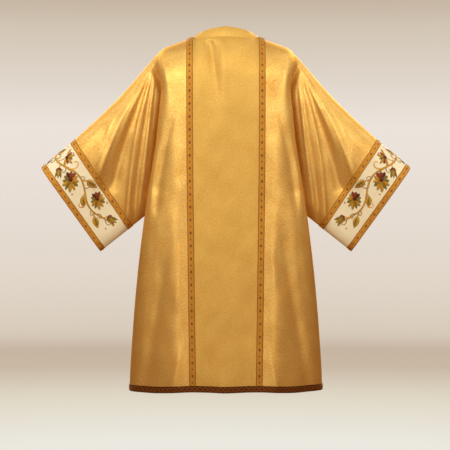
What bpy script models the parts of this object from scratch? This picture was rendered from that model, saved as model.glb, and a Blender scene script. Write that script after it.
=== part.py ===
"""A dalmatic: a wide-sleeved church vestment of gold cloth, braided and with an embroidered
band on each sleeve, hanging hollow as on a wearer whose arms are held out and down.

Frame: metres, +Z up. The wearer faces +Y, so the back of the garment faces -Y.
Origin: the middle of the neck opening, level with the shoulders that carry the cloth.

Every cloth piece is a wall worked out from a grid of outer points. Neighbouring pieces share
the points and the normals of their seam, and each then draws back by half the seam gap.
Braids and bands lie on the cloth: their grids are slices of its grid, moved outwards.
"""

from collections import defaultdict, namedtuple

import bpy
import numpy as np

MM = 0.001

# Cloth and trim
CLOTH_WALL = 2.0 * MM
SEAM_GAP = 0.3 * MM
LAY_GAP = 0.3 * MM
TRIM_WALL = 1.0 * MM
BRAID_WIDTH = 21.0 * MM
EMBROIDERED_WIDTH = 105.0 * MM

# Lengths that the shape is worked out from
HEM_HEIGHT = -1.168
SHOULDER_TIP = (0.232, -0.066)
UNDERARM = (0.235, -0.570)
CUFF_TOP = (0.6116, -0.4376)
CUFF_FOOT = (0.4160, -0.7127)
NECK_CORNER = 0.1085

# How round the body is across, and how far the cloth drops before it has left the shoulder
BODY_ROUNDNESS = 2.3
SHOULDER_DROP = 0.130
# The folds of the yoke reach their full depth this far below the top edge, and those of the
# sides this many columns in from the last column of the turn to the seam.
YOKE_FOLDS_FROM = 0.052
SIDE_FOLDS_FROM = 0.5
YOKE_FOOT = -0.300
UNDERARM_DROP = 0.110

# The body at each height, right half: the side fold that gives the outline, the seam tucked
# in behind it, the depth of the middle at back and front, and the line of the long braids.
Section = namedtuple("Section", "height fold_x fold_y seam_x seam_y back_y front_y braid")
BODY = [
    Section(-0.066, 0.2220, 0.056, 0.2320, 0.052, 0.106, 0.104, 0.1190),
    Section(-0.096, 0.2262, 0.060, 0.2265, 0.052, 0.114, 0.114, 0.1190),
    Section(-0.140, 0.2190, 0.068, 0.2070, 0.058, 0.122, 0.126, 0.1190),
    Section(-0.192, 0.2130, 0.075, 0.1960, 0.059, 0.127, 0.135, 0.1188),
    Section(-0.257, 0.2195, 0.080, 0.2010, 0.059, 0.130, 0.141, 0.1186),
    Section(-0.345, 0.2280, 0.082, 0.2080, 0.057, 0.132, 0.145, 0.1180),
    Section(-0.434, 0.2420, 0.080, 0.2160, 0.054, 0.134, 0.148, 0.1175),
    Section(-0.524, 0.2560, 0.075, 0.2270, 0.050, 0.137, 0.151, 0.1165),
    Section(-0.570, 0.2630, 0.072, 0.2350, 0.046, 0.139, 0.153, 0.1160),
    Section(-0.640, 0.2730, 0.066, 0.2450, 0.000, 0.143, 0.156, 0.1150),
    Section(-0.800, 0.2920, 0.050, 0.2720, 0.000, 0.152, 0.164, 0.1130),
    Section(-0.970, 0.3070, 0.032, 0.2980, 0.000, 0.163, 0.174, 0.1105),
    Section(-1.168, 0.3180, 0.014, 0.3170, 0.000, 0.176, 0.186, 0.1080),
]
# The front stays this much narrower than the back, so the back alone gives the outline.
FRONT_TUCK = 4.0 * MM

# The top outline from the neck over the shoulder, and on along the upper edge of the sleeve
Outline = namedtuple("Outline", "x height")
SHOULDER = [
    Outline(0.1085, -0.0040),
    Outline(0.1326, -0.0133),
    Outline(0.1670, -0.0265),
    Outline(0.2020, -0.0398),
    Outline(0.2204, -0.0530),
    Outline(*SHOULDER_TIP),
]
SLEEVE_TOP = [
    Outline(*SHOULDER_TIP),
    Outline(0.2420, -0.0796),
    Outline(0.2685, -0.1127),
    Outline(0.3613, -0.2122),
    Outline(0.4293, -0.2785),
    Outline(0.5020, -0.3448),
    Outline(*CUFF_TOP),
]

# The neck by angle, from the middle of the back (0) to the middle of the front (180): the
# seam that joins the neck band to the body, and the band's free edge
Neck = namedtuple("Neck", "angle seam_y seam_z edge_x edge_y edge_z")
NECK = [
    Neck(0, -0.0850, -0.0080, 0.0000, -0.0720, 0.0265),
    Neck(30, -0.0736, -0.0110, 0.0440, -0.0624, 0.0205),
    Neck(60, -0.0425, -0.0150, 0.0762, -0.0360, 0.0125),
    Neck(90, 0.0000, -0.0040, 0.0880, 0.0000, 0.0085),
    Neck(120, 0.0500, -0.0280, 0.0762, 0.0425, -0.0050),
    Neck(150, 0.0866, -0.0660, 0.0440, 0.0736, -0.0380),
    Neck(180, 0.1000, -0.0850, 0.0000, 0.0850, -0.0540),
]
BAND_BULGE = 2.0 * MM

# The sleeve across: depth of each half at the fullest, by share of its length from the armhole
SleeveDepth = namedtuple("SleeveDepth", "share depth")
SLEEVE_DEPTH = [
    SleeveDepth(0.0, 0.058),
    SleeveDepth(0.5, 0.060),
    SleeveDepth(1.0, 0.055),
]
SLEEVE_FULLEST = 0.20
SLEEVE_FOOT_SHARE = 0.50
SLEEVE_FOOT_ROUND = 0.12
ARMHOLE_BLEND = 0.30
# The tuck beside the armhole fades out over this share of the seam at each end.
TUCK_ENDS = 0.26
# Beyond this share of the seam the sleeve leaves the armhole level, clear of the body below.
LEVEL_FROM = 0.60
# How strongly the blend keeps the direction it leaves the armhole in, and the one it meets the
# plain sleeve in. Its folds have their full depth by this share of the blend.
LEAVE_PULL = 0.80
MEET_PULL = 1.1
# The step over which the direction of the plain sleeve is taken
AHEAD_STEP = 10 * MM
FOLDS_FULL_AT = 0.6

# Folds in the front view: a line from a head to a foot, its half width and its depth at each
# end. A depth above 0 stands out as a ridge, and one below 0 sinks in as a trough.
Fold = namedtuple("Fold", "head_x head_z foot_x foot_z head_wide foot_wide head_deep foot_deep")
BACK_FOLDS = [
    Fold(-0.043, -0.040, -0.034, -0.240, 0.016, 0.026, -0.007, 0.000),
    Fold(0.010, -0.060, 0.006, -0.330, 0.016, 0.030, 0.004, 0.000),
    Fold(-0.160, -0.350, -0.158, -1.200, 0.030, 0.045, 0.002, 0.014),
    Fold(0.160, -0.380, 0.152, -1.200, 0.030, 0.045, 0.002, 0.015),
    Fold(-0.200, -0.700, -0.262, -1.200, 0.024, 0.030, -0.002, -0.014),
    Fold(0.188, -0.640, 0.266, -1.200, 0.024, 0.030, -0.002, -0.013),
    Fold(-0.060, -0.800, -0.055, -1.200, 0.030, 0.042, 0.000, -0.008),
    Fold(0.050, -0.760, 0.062, -1.200, 0.030, 0.042, 0.000, -0.009),
    Fold(-0.184, -0.290, -0.214, -0.480, 0.016, 0.022, -0.006, -0.003),
    Fold(0.180, -0.270, 0.216, -0.500, 0.016, 0.022, -0.006, -0.003),
]
FRONT_FOLDS = [
    Fold(-0.050, -0.120, -0.020, -0.420, 0.018, 0.030, -0.006, 0.000),
    Fold(0.056, -0.130, 0.030, -0.380, 0.018, 0.030, -0.005, 0.000),
    Fold(-0.150, -0.400, -0.166, -1.200, 0.030, 0.045, 0.002, 0.016),
    Fold(0.156, -0.360, 0.158, -1.200, 0.030, 0.045, 0.002, 0.014),
    Fold(-0.196, -0.620, -0.256, -1.200, 0.024, 0.032, -0.002, -0.012),
    Fold(0.200, -0.720, 0.260, -1.200, 0.024, 0.032, -0.002, -0.014),
    Fold(0.000, -0.700, 0.006, -1.200, 0.034, 0.050, 0.000, -0.012),
    Fold(-0.180, -0.250, -0.208, -0.470, 0.016, 0.022, -0.006, -0.003),
    Fold(0.184, -0.300, 0.212, -0.460, 0.016, 0.022, -0.005, -0.003),
]
# The sleeve's folds fan out from the tip of the shoulder; the head and foot are for |x|.
SLEEVE_FOLDS = [
    Fold(0.263, -0.159, 0.425, -0.480, 0.010, 0.026, 0.005, 0.010),
    Fold(0.268, -0.175, 0.378, -0.500, 0.010, 0.026, -0.005, -0.010),
    Fold(0.254, -0.160, 0.318, -0.560, 0.008, 0.016, 0.007, 0.010),
    Fold(0.248, -0.185, 0.300, -0.480, 0.008, 0.012, -0.005, -0.008),
    Fold(0.240, -0.165, 0.282, -0.500, 0.008, 0.012, 0.006, 0.009),
]
# The hem hangs this much lower at each distance from the middle of the back.
HemDrop = namedtuple("HemDrop", "x drop")
HEM_DROPS = [
    HemDrop(-0.32, 0.004),
    HemDrop(-0.25, 0.006),
    HemDrop(-0.11, 0.000),
    HemDrop(0.00, 0.003),
    HemDrop(0.11, 0.000),
    HemDrop(0.22, 0.004),
    HemDrop(0.32, 0.001),
]
HEM_DROP_FROM = -0.75

# Grid lines. Heights of the seam where rows lie: along the armhole, then down the side
ARMHOLE_ROWS = 14
ROWS_CLOSER = 0.45
SIDE_ROWS = 11
NECK_SHARES = (0.0, 0.33, 0.62, 0.85, 1.0)
OUTER_COLUMNS = 7
RETURN_COLUMNS = 3
# Rings of the sleeve: shares of the armhole blend, then shares of the plain cloth beyond it
BLEND_RINGS = (0.0, 0.14, 0.32, 0.54, 0.77, 1.0)
PLAIN_RINGS = 5
EMBROIDERED_RINGS = 3
# Bands at the cuff are this much narrower at the sleeve's lower edge than at its upper one.
CUFF_FOOT_SHARE = 0.93

# A corner sharper than this, in degrees, is shaded as an edge.
SHARP_EDGE = 50

GOLD_CLOTH = ("gold_cloth", (0.72, 0.44, 0.12), 0.42, 0.35)
BRAID = ("braid", (0.42, 0.21, 0.05), 0.50, 0.30)
CREAM_CLOTH = ("cream_cloth", (0.80, 0.71, 0.52), 0.60, 0.0)


# Curves through the tables

def slopes_of(x, y):
    """Slopes at the points of a table that keep the curve from swinging past them. It leaves
    both ends level."""
    step = np.diff(x)
    rise = np.diff(y) / step
    slope = np.zeros(len(x))
    for i in range(1, len(x) - 1):
        if rise[i - 1] * rise[i] > 0:
            before = 2 * step[i] + step[i - 1]
            after = step[i] + 2 * step[i - 1]
            slope[i] = (before + after) / (before / rise[i - 1] + after / rise[i])
    return slope


def curve(table, key, column, at):
    """The table's column at these values of its key column, along one smooth curve."""
    rows = sorted(table, key=lambda row: getattr(row, key))
    x = np.array([getattr(row, key) for row in rows], float)
    y = np.array([getattr(row, column) for row in rows], float)
    at = np.clip(np.asarray(at, float), x[0], x[-1])
    slope = slopes_of(x, y)
    i = np.clip(np.searchsorted(x, at, side="right") - 1, 0, len(x) - 2)
    step = x[i + 1] - x[i]
    t = (at - x[i]) / step
    return (
        (1 + 2 * t) * (1 - t) ** 2 * y[i]
        + t * (1 - t) ** 2 * step * slope[i]
        + t**2 * (3 - 2 * t) * y[i + 1]
        + t**2 * (t - 1) * step * slope[i + 1]
    )


def smooth(t):
    t = np.clip(t, 0, 1)
    return t * t * (3 - 2 * t)


def round_over(distance, reach):
    """From 0 to 1 like a quarter of an ellipse, over this reach."""
    t = np.clip(distance / reach, 0, 1)
    return np.sqrt(np.maximum(0, 1 - (1 - t) ** 2))


def folds_at(x, z, folds):
    """How far the cloth stands out at points of the front view."""
    total = np.zeros(np.broadcast(x, z).shape)
    for f in folds:
        run_x, run_z = f.foot_x - f.head_x, f.foot_z - f.head_z
        along = ((x - f.head_x) * run_x + (z - f.head_z) * run_z) / (run_x**2 + run_z**2)
        along = np.clip(along, 0, 1)
        off = np.hypot(x - f.head_x - along * run_x, z - f.head_z - along * run_z)
        wide = f.head_wide + (f.foot_wide - f.head_wide) * along
        deep = f.head_deep + (f.foot_deep - f.head_deep) * along
        total = total + deep * np.exp(-((off / wide) ** 2))
    return total


# The body

def seam_depth(height):
    """Half the width of the armhole at this height: closed at the shoulder and underarm."""
    return (
        curve(BODY, "height", "seam_y", height)
        * round_over(SHOULDER_TIP[1] - height, SHOULDER_DROP)
        * round_over(height - UNDERARM[1], UNDERARM_DROP)
    )


def row_heights():
    """Heights of the body's rows at the seam: along the armhole, closer at its curved ends, and
    then down the side to the hem."""
    fine = np.linspace(SHOULDER_TIP[1], UNDERARM[1], 400)
    depth = seam_depth(fine)
    run = np.concatenate([[0], np.cumsum(np.hypot(np.diff(fine), np.diff(depth)))])
    even = np.linspace(0, 1, ARMHOLE_ROWS + 1)
    closer = even - ROWS_CLOSER * np.sin(2 * np.pi * even) / (2 * np.pi)
    armhole = np.interp(closer * run[-1], run, fine)
    braid_top = HEM_HEIGHT + BRAID_WIDTH
    side = np.linspace(UNDERARM[1], braid_top, SIDE_ROWS + 1)[1:]
    return np.concatenate([armhole, side, [HEM_HEIGHT]])


def main_curve(height, middle_depth, tuck, arcs, outer_shares):
    """x and depth across one row, from the middle to the side fold, at these arc lengths and
    then at these shares of what is left."""
    fold_x = curve(BODY, "height", "fold_x", height) - tuck
    fold_y = curve(BODY, "height", "fold_y", height)
    turn = np.linspace(0, np.pi / 2, 160)
    x = fold_x * np.sin(turn) ** (2 / BODY_ROUNDNESS)
    depth = fold_y + (middle_depth - fold_y) * np.cos(turn) ** (2 / BODY_ROUNDNESS)
    run = np.concatenate([[0], np.cumsum(np.hypot(np.diff(x), np.diff(depth)))])
    outer = arcs[-1] + (run[-1] - arcs[-1]) * outer_shares
    wanted = np.concatenate([arcs, outer])
    return np.interp(wanted, run, x), np.interp(wanted, run, depth)


def top_boundary(x, front):
    """Depth and height of a panel's top edge at x: along the neck seam, then the shoulder."""
    angle = np.degrees(np.arcsin(np.clip(x / NECK_CORNER, 0, 1)))
    angle = 180 - angle if front else angle
    at_neck = x <= NECK_CORNER
    depth = np.where(at_neck, np.abs(curve(NECK, "angle", "seam_y", angle)), 0.0)
    height = np.where(
        at_neck,
        curve(NECK, "angle", "seam_z", angle),
        curve(SHOULDER, "x", "height", x),
    )
    return depth, height


def shoulder_columns(braid):
    """x of the columns at the shoulder, the same on both panels because they share its seam."""
    braid_edge = braid + BRAID_WIDTH / 2
    neck = NECK_CORNER * np.array(NECK_SHARES)
    outer = np.linspace(braid_edge, BODY[0].fold_x, OUTER_COLUMNS + 1)
    return np.concatenate([neck, [braid], outer])


def half_panel(front):
    """Right half of a panel: rows from the top edge down, columns from the middle to the seam."""
    tuck = FRONT_TUCK if front else 0.0
    middle = "front_y" if front else "back_y"
    outer_shares = np.linspace(0, 1, OUTER_COLUMNS + 1)[1:]
    back_turn = np.linspace(0, 1, RETURN_COLUMNS + 1)[1:]
    rows = []
    for height in row_heights():
        braid = curve(BODY, "height", "braid", height)
        inner = (braid - BRAID_WIDTH / 2) * np.array(NECK_SHARES)
        arcs = np.concatenate([inner, [braid, braid + BRAID_WIDTH / 2]])
        depth_here = curve(BODY, "height", middle, height)
        x, depth = main_curve(height, depth_here, tuck, arcs, outer_shares)
        if height == SHOULDER_TIP[1]:
            x = shoulder_columns(braid)
        fold_x, fold_y = x[-1], depth[-1]
        seam_x = curve(BODY, "height", "seam_x", height)
        x = np.concatenate([x, fold_x + (seam_x - fold_x) * smooth(back_turn)])
        top_depth, top_height = top_boundary(x, front)
        left = np.clip((height - YOKE_FOOT) / (SHOULDER_TIP[1] - YOKE_FOOT), 0, 1)
        z = height + (top_height - SHOULDER_TIP[1]) * left
        over = round_over(top_height - z, SHOULDER_DROP)
        depth = np.concatenate([depth, np.full(RETURN_COLUMNS, fold_y)])
        depth = top_depth + (depth - top_depth) * over
        edge_depth = depth[-RETURN_COLUMNS - 1]
        target = float(seam_depth(height))
        depth[-RETURN_COLUMNS:] = edge_depth + (target - edge_depth) * back_turn
        rows.append(np.stack([x, depth, z], axis=1))
    return np.array(rows)


def panel_grid(front):
    """Outer points of a whole panel. Columns run so that rows x columns face outwards."""
    right = half_panel(front)
    left = right[:, :0:-1].copy()
    left[..., 0] *= -1
    grid = np.concatenate([left, right], axis=1)
    x, depth, z = grid[..., 0], grid[..., 1], grid[..., 2]
    folds = FRONT_FOLDS if front else BACK_FOLDS
    columns = np.arange(grid.shape[1])
    inside = np.minimum(columns, columns[::-1]) / RETURN_COLUMNS
    below_top = np.clip((z[0] - z) / YOKE_FOLDS_FROM, 0, 1)
    depth += folds_at(x, z, folds) * smooth(inside - SIDE_FOLDS_FROM) * smooth(below_top)
    low = np.clip((HEM_DROP_FROM - z) / (HEM_DROP_FROM - HEM_HEIGHT), 0, 1)
    z -= curve(HEM_DROPS, "x", "drop", x) * low**2
    grid[..., 1] = depth if front else -depth
    return grid[:, ::-1] if front else grid


# The sleeves

def along_line(points, distance):
    """Points of a line at these distances from its end, measured back towards its start."""
    x = np.array([p[0] for p in points])
    z = np.array([p[1] for p in points])
    run = np.concatenate([[0], np.cumsum(np.hypot(np.diff(x), np.diff(z)))])
    back = run[-1] - np.asarray(distance, float)
    return np.stack([np.interp(back, run, x), np.interp(back, run, z)], axis=-1)


def sleeve_lengths():
    top = np.array(SLEEVE_TOP)
    upper = np.hypot(*np.diff(top, axis=0).T).sum()
    lower = np.hypot(CUFF_FOOT[0] - UNDERARM[0], CUFF_FOOT[1] - UNDERARM[1])
    return upper, lower


def cuff_length():
    return 2 * BRAID_WIDTH + EMBROIDERED_WIDTH


def foot_distance(upper_distance):
    """Distance from the cuff along the lower edge that goes with one along the upper edge."""
    upper, lower = sleeve_lengths()
    cuff = cuff_length()
    cuff_foot = cuff * CUFF_FOOT_SHARE
    beyond = (upper_distance - cuff) / (upper - cuff)
    return np.where(
        upper_distance <= cuff,
        upper_distance * CUFF_FOOT_SHARE,
        cuff_foot + beyond * (lower - cuff_foot),
    )


def sleeve_profile(down):
    """Depth share of half a sleeve from its upper edge (0) to its lower edge (1)."""
    foot_from = 1 - SLEEVE_FOOT_ROUND
    taper = 1 - (1 - SLEEVE_FOOT_SHARE) * smooth((down - SLEEVE_FULLEST) / (1 - SLEEVE_FULLEST))
    head = round_over(down, SLEEVE_FULLEST)
    foot = round_over(1 - down, 1 - foot_from)
    return head * taper * foot


def plain_section(upper_distance, shares):
    """Points of half a ring of the sleeve in plain form, at these shares of its arc length."""
    head = along_line(SLEEVE_TOP, upper_distance)
    foot = along_line([UNDERARM, CUFF_FOOT], float(foot_distance(upper_distance)))
    length = np.hypot(*(foot - head))
    share = 1 - upper_distance / sleeve_lengths()[0]
    fullest = curve(SLEEVE_DEPTH, "share", "depth", share)
    down = (1 - np.cos(np.linspace(0, np.pi, 240))) / 2
    depth = fullest * sleeve_profile(down)
    run = np.concatenate([[0], np.cumsum(np.hypot(np.diff(down * length), np.diff(depth)))])
    down_at = np.interp(shares * run[-1], run, down)
    depth_at = np.interp(shares * run[-1], run, depth)
    place = head + (foot - head) * down_at[:, None]
    return np.stack([place[:, 0], depth_at, place[:, 1]], axis=1)


def half_sleeve():
    """Half a sleeve with x and depth positive: rings from the armhole to the cuff, columns from
    the upper edge to the lower edge. It leaves the armhole into the tuck behind the side fold."""
    heights = row_heights()[: ARMHOLE_ROWS + 1]
    seam = np.stack(
        [curve(BODY, "height", "seam_x", heights), seam_depth(heights), heights], axis=1
    )
    run = np.concatenate([[0], np.cumsum(np.linalg.norm(np.diff(seam[:, 1:], axis=0), axis=1))])
    shares = run / run[-1]
    upper, _ = sleeve_lengths()
    blend_end = upper * (1 - ARMHOLE_BLEND)
    first = plain_section(blend_end, shares)
    ahead = plain_section(blend_end - AHEAD_STEP, shares) - first
    ahead /= np.linalg.norm(ahead, axis=1)[:, None]
    span = np.linalg.norm(first - seam, axis=1)[:, None]
    tangent = np.gradient(seam, axis=0)
    inwards = np.stack([np.zeros(len(seam)), tangent[:, 2], -tangent[:, 1]], axis=1)
    inwards[0], inwards[-1] = (0, 0, -1), (0, 0, 1)
    inwards /= np.linalg.norm(inwards, axis=1)[:, None]
    middle = smooth(np.minimum(shares, 1 - shares) / TUCK_ENDS)[:, None]
    level = smooth((shares - LEVEL_FROM) / (1 - LEVEL_FROM))[:, None]
    outwards = ahead * (1 - level) + np.array([1.0, 0.0, 0.0]) * level
    leave = outwards * (1 - middle) + inwards * middle
    leave /= np.linalg.norm(leave, axis=1)[:, None]
    rings = []
    for t in BLEND_RINGS:
        ring = (
            (1 + 2 * t) * (1 - t) ** 2 * seam
            + t * (1 - t) ** 2 * leave * span * LEAVE_PULL
            + t**2 * (3 - 2 * t) * first
            + t**2 * (t - 1) * ahead * span * MEET_PULL
        )
        rings.append((ring, smooth(t / FOLDS_FULL_AT)))
    cuff = cuff_length()
    distances = list(np.linspace(blend_end, cuff, PLAIN_RINGS + 1)[1:])
    embroidered = np.linspace(cuff - BRAID_WIDTH, BRAID_WIDTH, EMBROIDERED_RINGS + 1)
    distances += list(embroidered) + [0.0]
    for distance in distances:
        rings.append((plain_section(distance, shares), 1.0))
    points = np.array([ring for ring, _ in rings])
    strength = np.array([[power] for _, power in rings])
    across = sleeve_profile((1 - np.cos(np.pi * shares)) / 2)
    lift = folds_at(points[..., 0], points[..., 2], SLEEVE_FOLDS)
    points[..., 1] += lift * strength * across
    return points


def sleeve_grid(hand):
    """Outer points of a sleeve: rings from the armhole to the cuff, columns round it from the
    upper edge over the back and the lower edge to the front."""
    half = half_sleeve()
    back = half * [hand, -1, 1]
    front = (half * [hand, 1, 1])[:, -2:0:-1]
    return np.concatenate([back, front], axis=1)


# The neck band

def band_grid(hand, back, front):
    """Half the neck band: rows from the seam to the free edge, columns from the middle of the
    back to the middle of the front. Its seam is the two panels' own top edge."""
    columns = len(NECK_SHARES)
    middle = back.shape[1] // 2
    step = 1 if hand > 0 else -1
    behind = back[0, [middle + step * i for i in range(columns)]]
    before = front[0, [middle - step * i for i in range(columns)]][::-1]
    seam = np.concatenate([behind, before[1:]])
    lean = np.degrees(np.arcsin(np.array(NECK_SHARES)))
    angle = np.concatenate([lean, 180 - lean[-2::-1]])
    edge = np.stack([hand * curve(NECK, "angle", "edge_x", angle),
                     curve(NECK, "angle", "edge_y", angle),
                     curve(NECK, "angle", "edge_z", angle)], axis=1)
    outwards = seam * [1, 1, 0]
    outwards /= np.linalg.norm(outwards, axis=1)[:, None]
    mid = (seam + edge) / 2 + (outwards + [0, 0, 1]) * BAND_BULGE / 2
    return np.array([seam, mid, edge])


# Walls from grids

class Cloth:
    """A grid of outer points. closed joins the last column to the first, and flip turns the
    faces over. seams names the sides of the grid that meet another piece."""

    def __init__(self, grid, closed=False, flip=False, seams=()):
        self.grid = np.array(grid, float)
        self.closed = closed
        self.flip = flip
        self.seams = seams
        self.normals = None

    def cells(self):
        rows, columns = self.grid.shape[:2]
        last = columns if self.closed else columns - 1
        for r in range(rows - 1):
            for c in range(last):
                yield r, c, (c + 1) % columns


def point_key(point):
    return tuple(np.round(point / 1e-6).astype(int))


def share_normals(cloths):
    """Gives each grid its normals. Points that lie at one place share one normal, to which each
    face adds as much as its corner there is wide, so a seam's normal halves its angle."""
    sums = defaultdict(lambda: np.zeros(3))
    for cloth in cloths:
        g = cloth.grid
        for r, c, n in cloth.cells():
            corners = [g[r, c], g[r + 1, c], g[r + 1, n], g[r, n]]
            for before, point, after in zip(corners[-1:] + corners, corners, corners[1:] + corners):
                ahead, back = after - point, before - point
                facing = np.cross(ahead, back)
                size = np.linalg.norm(facing)
                angle = np.arctan2(size, np.dot(ahead, back))
                sums[point_key(point)] += facing / size * (-angle if cloth.flip else angle)
    for cloth in cloths:
        flat = cloth.grid.reshape(-1, 3)
        normals = np.array([sums[point_key(p)] for p in flat])
        normals /= np.linalg.norm(normals, axis=1)[:, None]
        cloth.normals = normals.reshape(cloth.grid.shape)


def drawn_back(points, sides, closed, distance):
    """Moves these sides of a grid back towards its middle, square to each side's own line."""
    moved = points.copy()
    inner = {"first_row": (np.s_[0, :], np.s_[1, :]), "last_row": (np.s_[-1, :], np.s_[-2, :]),
             "first_column": (np.s_[:, 0], np.s_[:, 1]), "last_column": (np.s_[:, -1], np.s_[:, -2])}
    for side in sides:
        edge, next_to = inner[side]
        line = points[edge]
        if closed:
            tangent = np.roll(line, -1, axis=0) - np.roll(line, 1, axis=0)
        else:
            tangent = np.gradient(line, axis=0)
        tangent /= np.linalg.norm(tangent, axis=1)[:, None]
        way = points[next_to] - line
        way -= tangent * np.sum(way * tangent, axis=1)[:, None]
        moved[edge] += way / np.linalg.norm(way, axis=1)[:, None] * distance
    return moved


def wall(name, cloth, low, high, material, parent):
    """A closed solid between two levels over the cloth's outer points."""
    levels = [
        drawn_back(cloth.grid + cloth.normals * level, cloth.seams, cloth.closed, SEAM_GAP / 2)
        for level in (high, low)
    ]
    columns = cloth.grid.shape[1]
    count = cloth.grid.shape[0] * columns
    face = []
    for r, c, n in cloth.cells():
        near, across = r * columns + c, r * columns + n
        far, beside = near + columns, across + columns
        halves = [(near, far, beside), (near, beside, across)]
        face += [half[::-1] for half in halves] if cloth.flip else halves
    edges = {edge for a, b, c in face for edge in ((a, b), (b, c), (c, a))}
    lining = [(c + count, b + count, a + count) for a, b, c in face]
    flat = cloth.grid.reshape(-1, 3)
    rim = []
    for a, b in sorted(edges):
        if (b, a) in edges:
            continue
        # Both pieces at a seam split its narrow faces the same way, so the gap stays even.
        if point_key(flat[a]) > point_key(flat[b]):
            rim += [(b, a, a + count), (b, a + count, b + count)]
        else:
            rim += [(b, a, b + count), (a, a + count, b + count)]
    mesh = bpy.data.meshes.new(name)
    points = np.concatenate([level.reshape(-1, 3) for level in levels])
    mesh.from_pydata(points.tolist(), [], face + lining + rim)
    mesh.materials.append(material)
    mesh.shade_smooth()
    mesh.set_sharp_from_angle(angle=np.radians(SHARP_EDGE))
    obj = bpy.data.objects.new(name, mesh)
    obj.parent = parent
    bpy.context.scene.collection.objects.link(obj)
    return obj


def on_top(cloth, rows, columns, seams):
    """A strip of trim that lies on part of a cloth, with the cloth's own points and normals."""
    strip = Cloth(cloth.grid[rows, columns], cloth.closed, cloth.flip, seams)
    strip.normals = cloth.normals[rows, columns]
    return strip


def make_material(recipe):
    name, colour, roughness, metallic = recipe
    material = bpy.data.materials.new(name)
    material.use_nodes = True
    shader = material.node_tree.nodes["Principled BSDF"]
    shader.inputs["Base Color"].default_value = (*colour, 1)
    shader.inputs["Roughness"].default_value = roughness
    shader.inputs["Metallic"].default_value = metallic
    return material


def main():
    for obj in list(bpy.data.objects):
        bpy.data.objects.remove(obj)
    gold, braid, cream = (make_material(r) for r in (GOLD_CLOTH, BRAID, CREAM_CLOTH))
    garment = bpy.data.objects.new("dalmatic", None)
    bpy.context.scene.collection.objects.link(garment)

    panel_seams = ("first_row", "first_column", "last_column")
    back = Cloth(panel_grid(front=False), seams=panel_seams)
    front = Cloth(panel_grid(front=True), seams=panel_seams)
    hands = (("left", -1), ("right", 1))
    sleeves = {
        side: Cloth(sleeve_grid(hand), closed=True, flip=hand > 0, seams=("first_row",))
        for side, hand in hands
    }
    band_seams = ("first_row", "first_column", "last_column")
    bands = {
        side: Cloth(band_grid(hand, back.grid, front.grid), flip=hand > 0, seams=band_seams)
        for side, hand in hands
    }
    share_normals([back, front, *sleeves.values(), *bands.values()])

    cloth_levels = (-CLOTH_WALL, 0.0)
    trim_levels = (LAY_GAP, LAY_GAP + TRIM_WALL)
    wall("back_panel", back, *cloth_levels, gold, garment)
    wall("front_panel", front, *cloth_levels, gold, garment)
    middle = back.grid.shape[1] // 2
    inner_line, outer_line = len(NECK_SHARES) - 1, len(NECK_SHARES) + 1
    above_hem = slice(0, back.grid.shape[0] - 1)
    hem = slice(back.grid.shape[0] - 2, back.grid.shape[0])
    everything = slice(None)
    for face, panel, right in (("back", back, 1), ("front", front, -1)):
        for side, hand in hands:
            lines = sorted((middle + hand * right * inner_line, middle + hand * right * outer_line))
            columns = slice(lines[0], lines[1] + 1)
            strip = on_top(panel, above_hem, columns, ("first_row", "last_row"))
            wall(f"{face}_braid_{side}", strip, *trim_levels, braid, garment)
        strip = on_top(panel, hem, everything, ("first_row", "first_column", "last_column"))
        wall(f"{face}_hem_braid", strip, *trim_levels, braid, garment)

    rings = sleeves["left"].grid.shape[0]
    embroidered_to = rings - 2
    embroidered_from = embroidered_to - EMBROIDERED_RINGS
    sleeve_trims = (
        ("sleeve_braid", embroidered_from - 1, embroidered_from, braid, ("last_row",)),
        ("embroidered_band", embroidered_from, embroidered_to, cream, ("first_row", "last_row")),
        ("cuff_braid", embroidered_to, rings - 1, braid, ("first_row",)),
    )
    for side, _ in hands:
        wall(f"neck_band_{side}", bands[side], *cloth_levels, gold, garment)
        wall(f"sleeve_{side}", sleeves[side], *cloth_levels, gold, garment)
        for kind, first, last, material, seams in sleeve_trims:
            strip = on_top(sleeves[side], slice(first, last + 1), everything, seams)
            wall(f"{kind}_{side}", strip, *trim_levels, material, garment)


main()
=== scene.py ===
"""How a dalmatic looks: gold brocade hung in soft folds, woven braids with raised cords, and a
cream band on each sleeve worked with flowers in raised silk.

The cloth repeats the sizes and tables of the solids with finer grids, and adds the creases.
Metres, +Z up. The back faces -Y. The wearer's right is +X.
"""

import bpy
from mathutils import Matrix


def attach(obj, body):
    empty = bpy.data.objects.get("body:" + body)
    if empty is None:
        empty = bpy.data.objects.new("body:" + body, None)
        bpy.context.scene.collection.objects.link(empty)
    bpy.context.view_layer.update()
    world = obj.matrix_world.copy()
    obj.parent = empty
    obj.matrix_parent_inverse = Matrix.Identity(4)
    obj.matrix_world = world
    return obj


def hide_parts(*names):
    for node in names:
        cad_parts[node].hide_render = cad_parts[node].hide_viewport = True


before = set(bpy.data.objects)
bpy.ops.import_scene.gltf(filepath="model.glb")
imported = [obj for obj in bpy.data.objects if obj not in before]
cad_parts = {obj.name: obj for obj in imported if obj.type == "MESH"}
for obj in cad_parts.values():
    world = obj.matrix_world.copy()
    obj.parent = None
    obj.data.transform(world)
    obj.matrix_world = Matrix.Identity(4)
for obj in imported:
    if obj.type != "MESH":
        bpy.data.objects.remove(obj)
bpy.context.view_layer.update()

from collections import namedtuple

import bpy
import numpy as np
from mathutils import Vector

MM = 0.001

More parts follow.
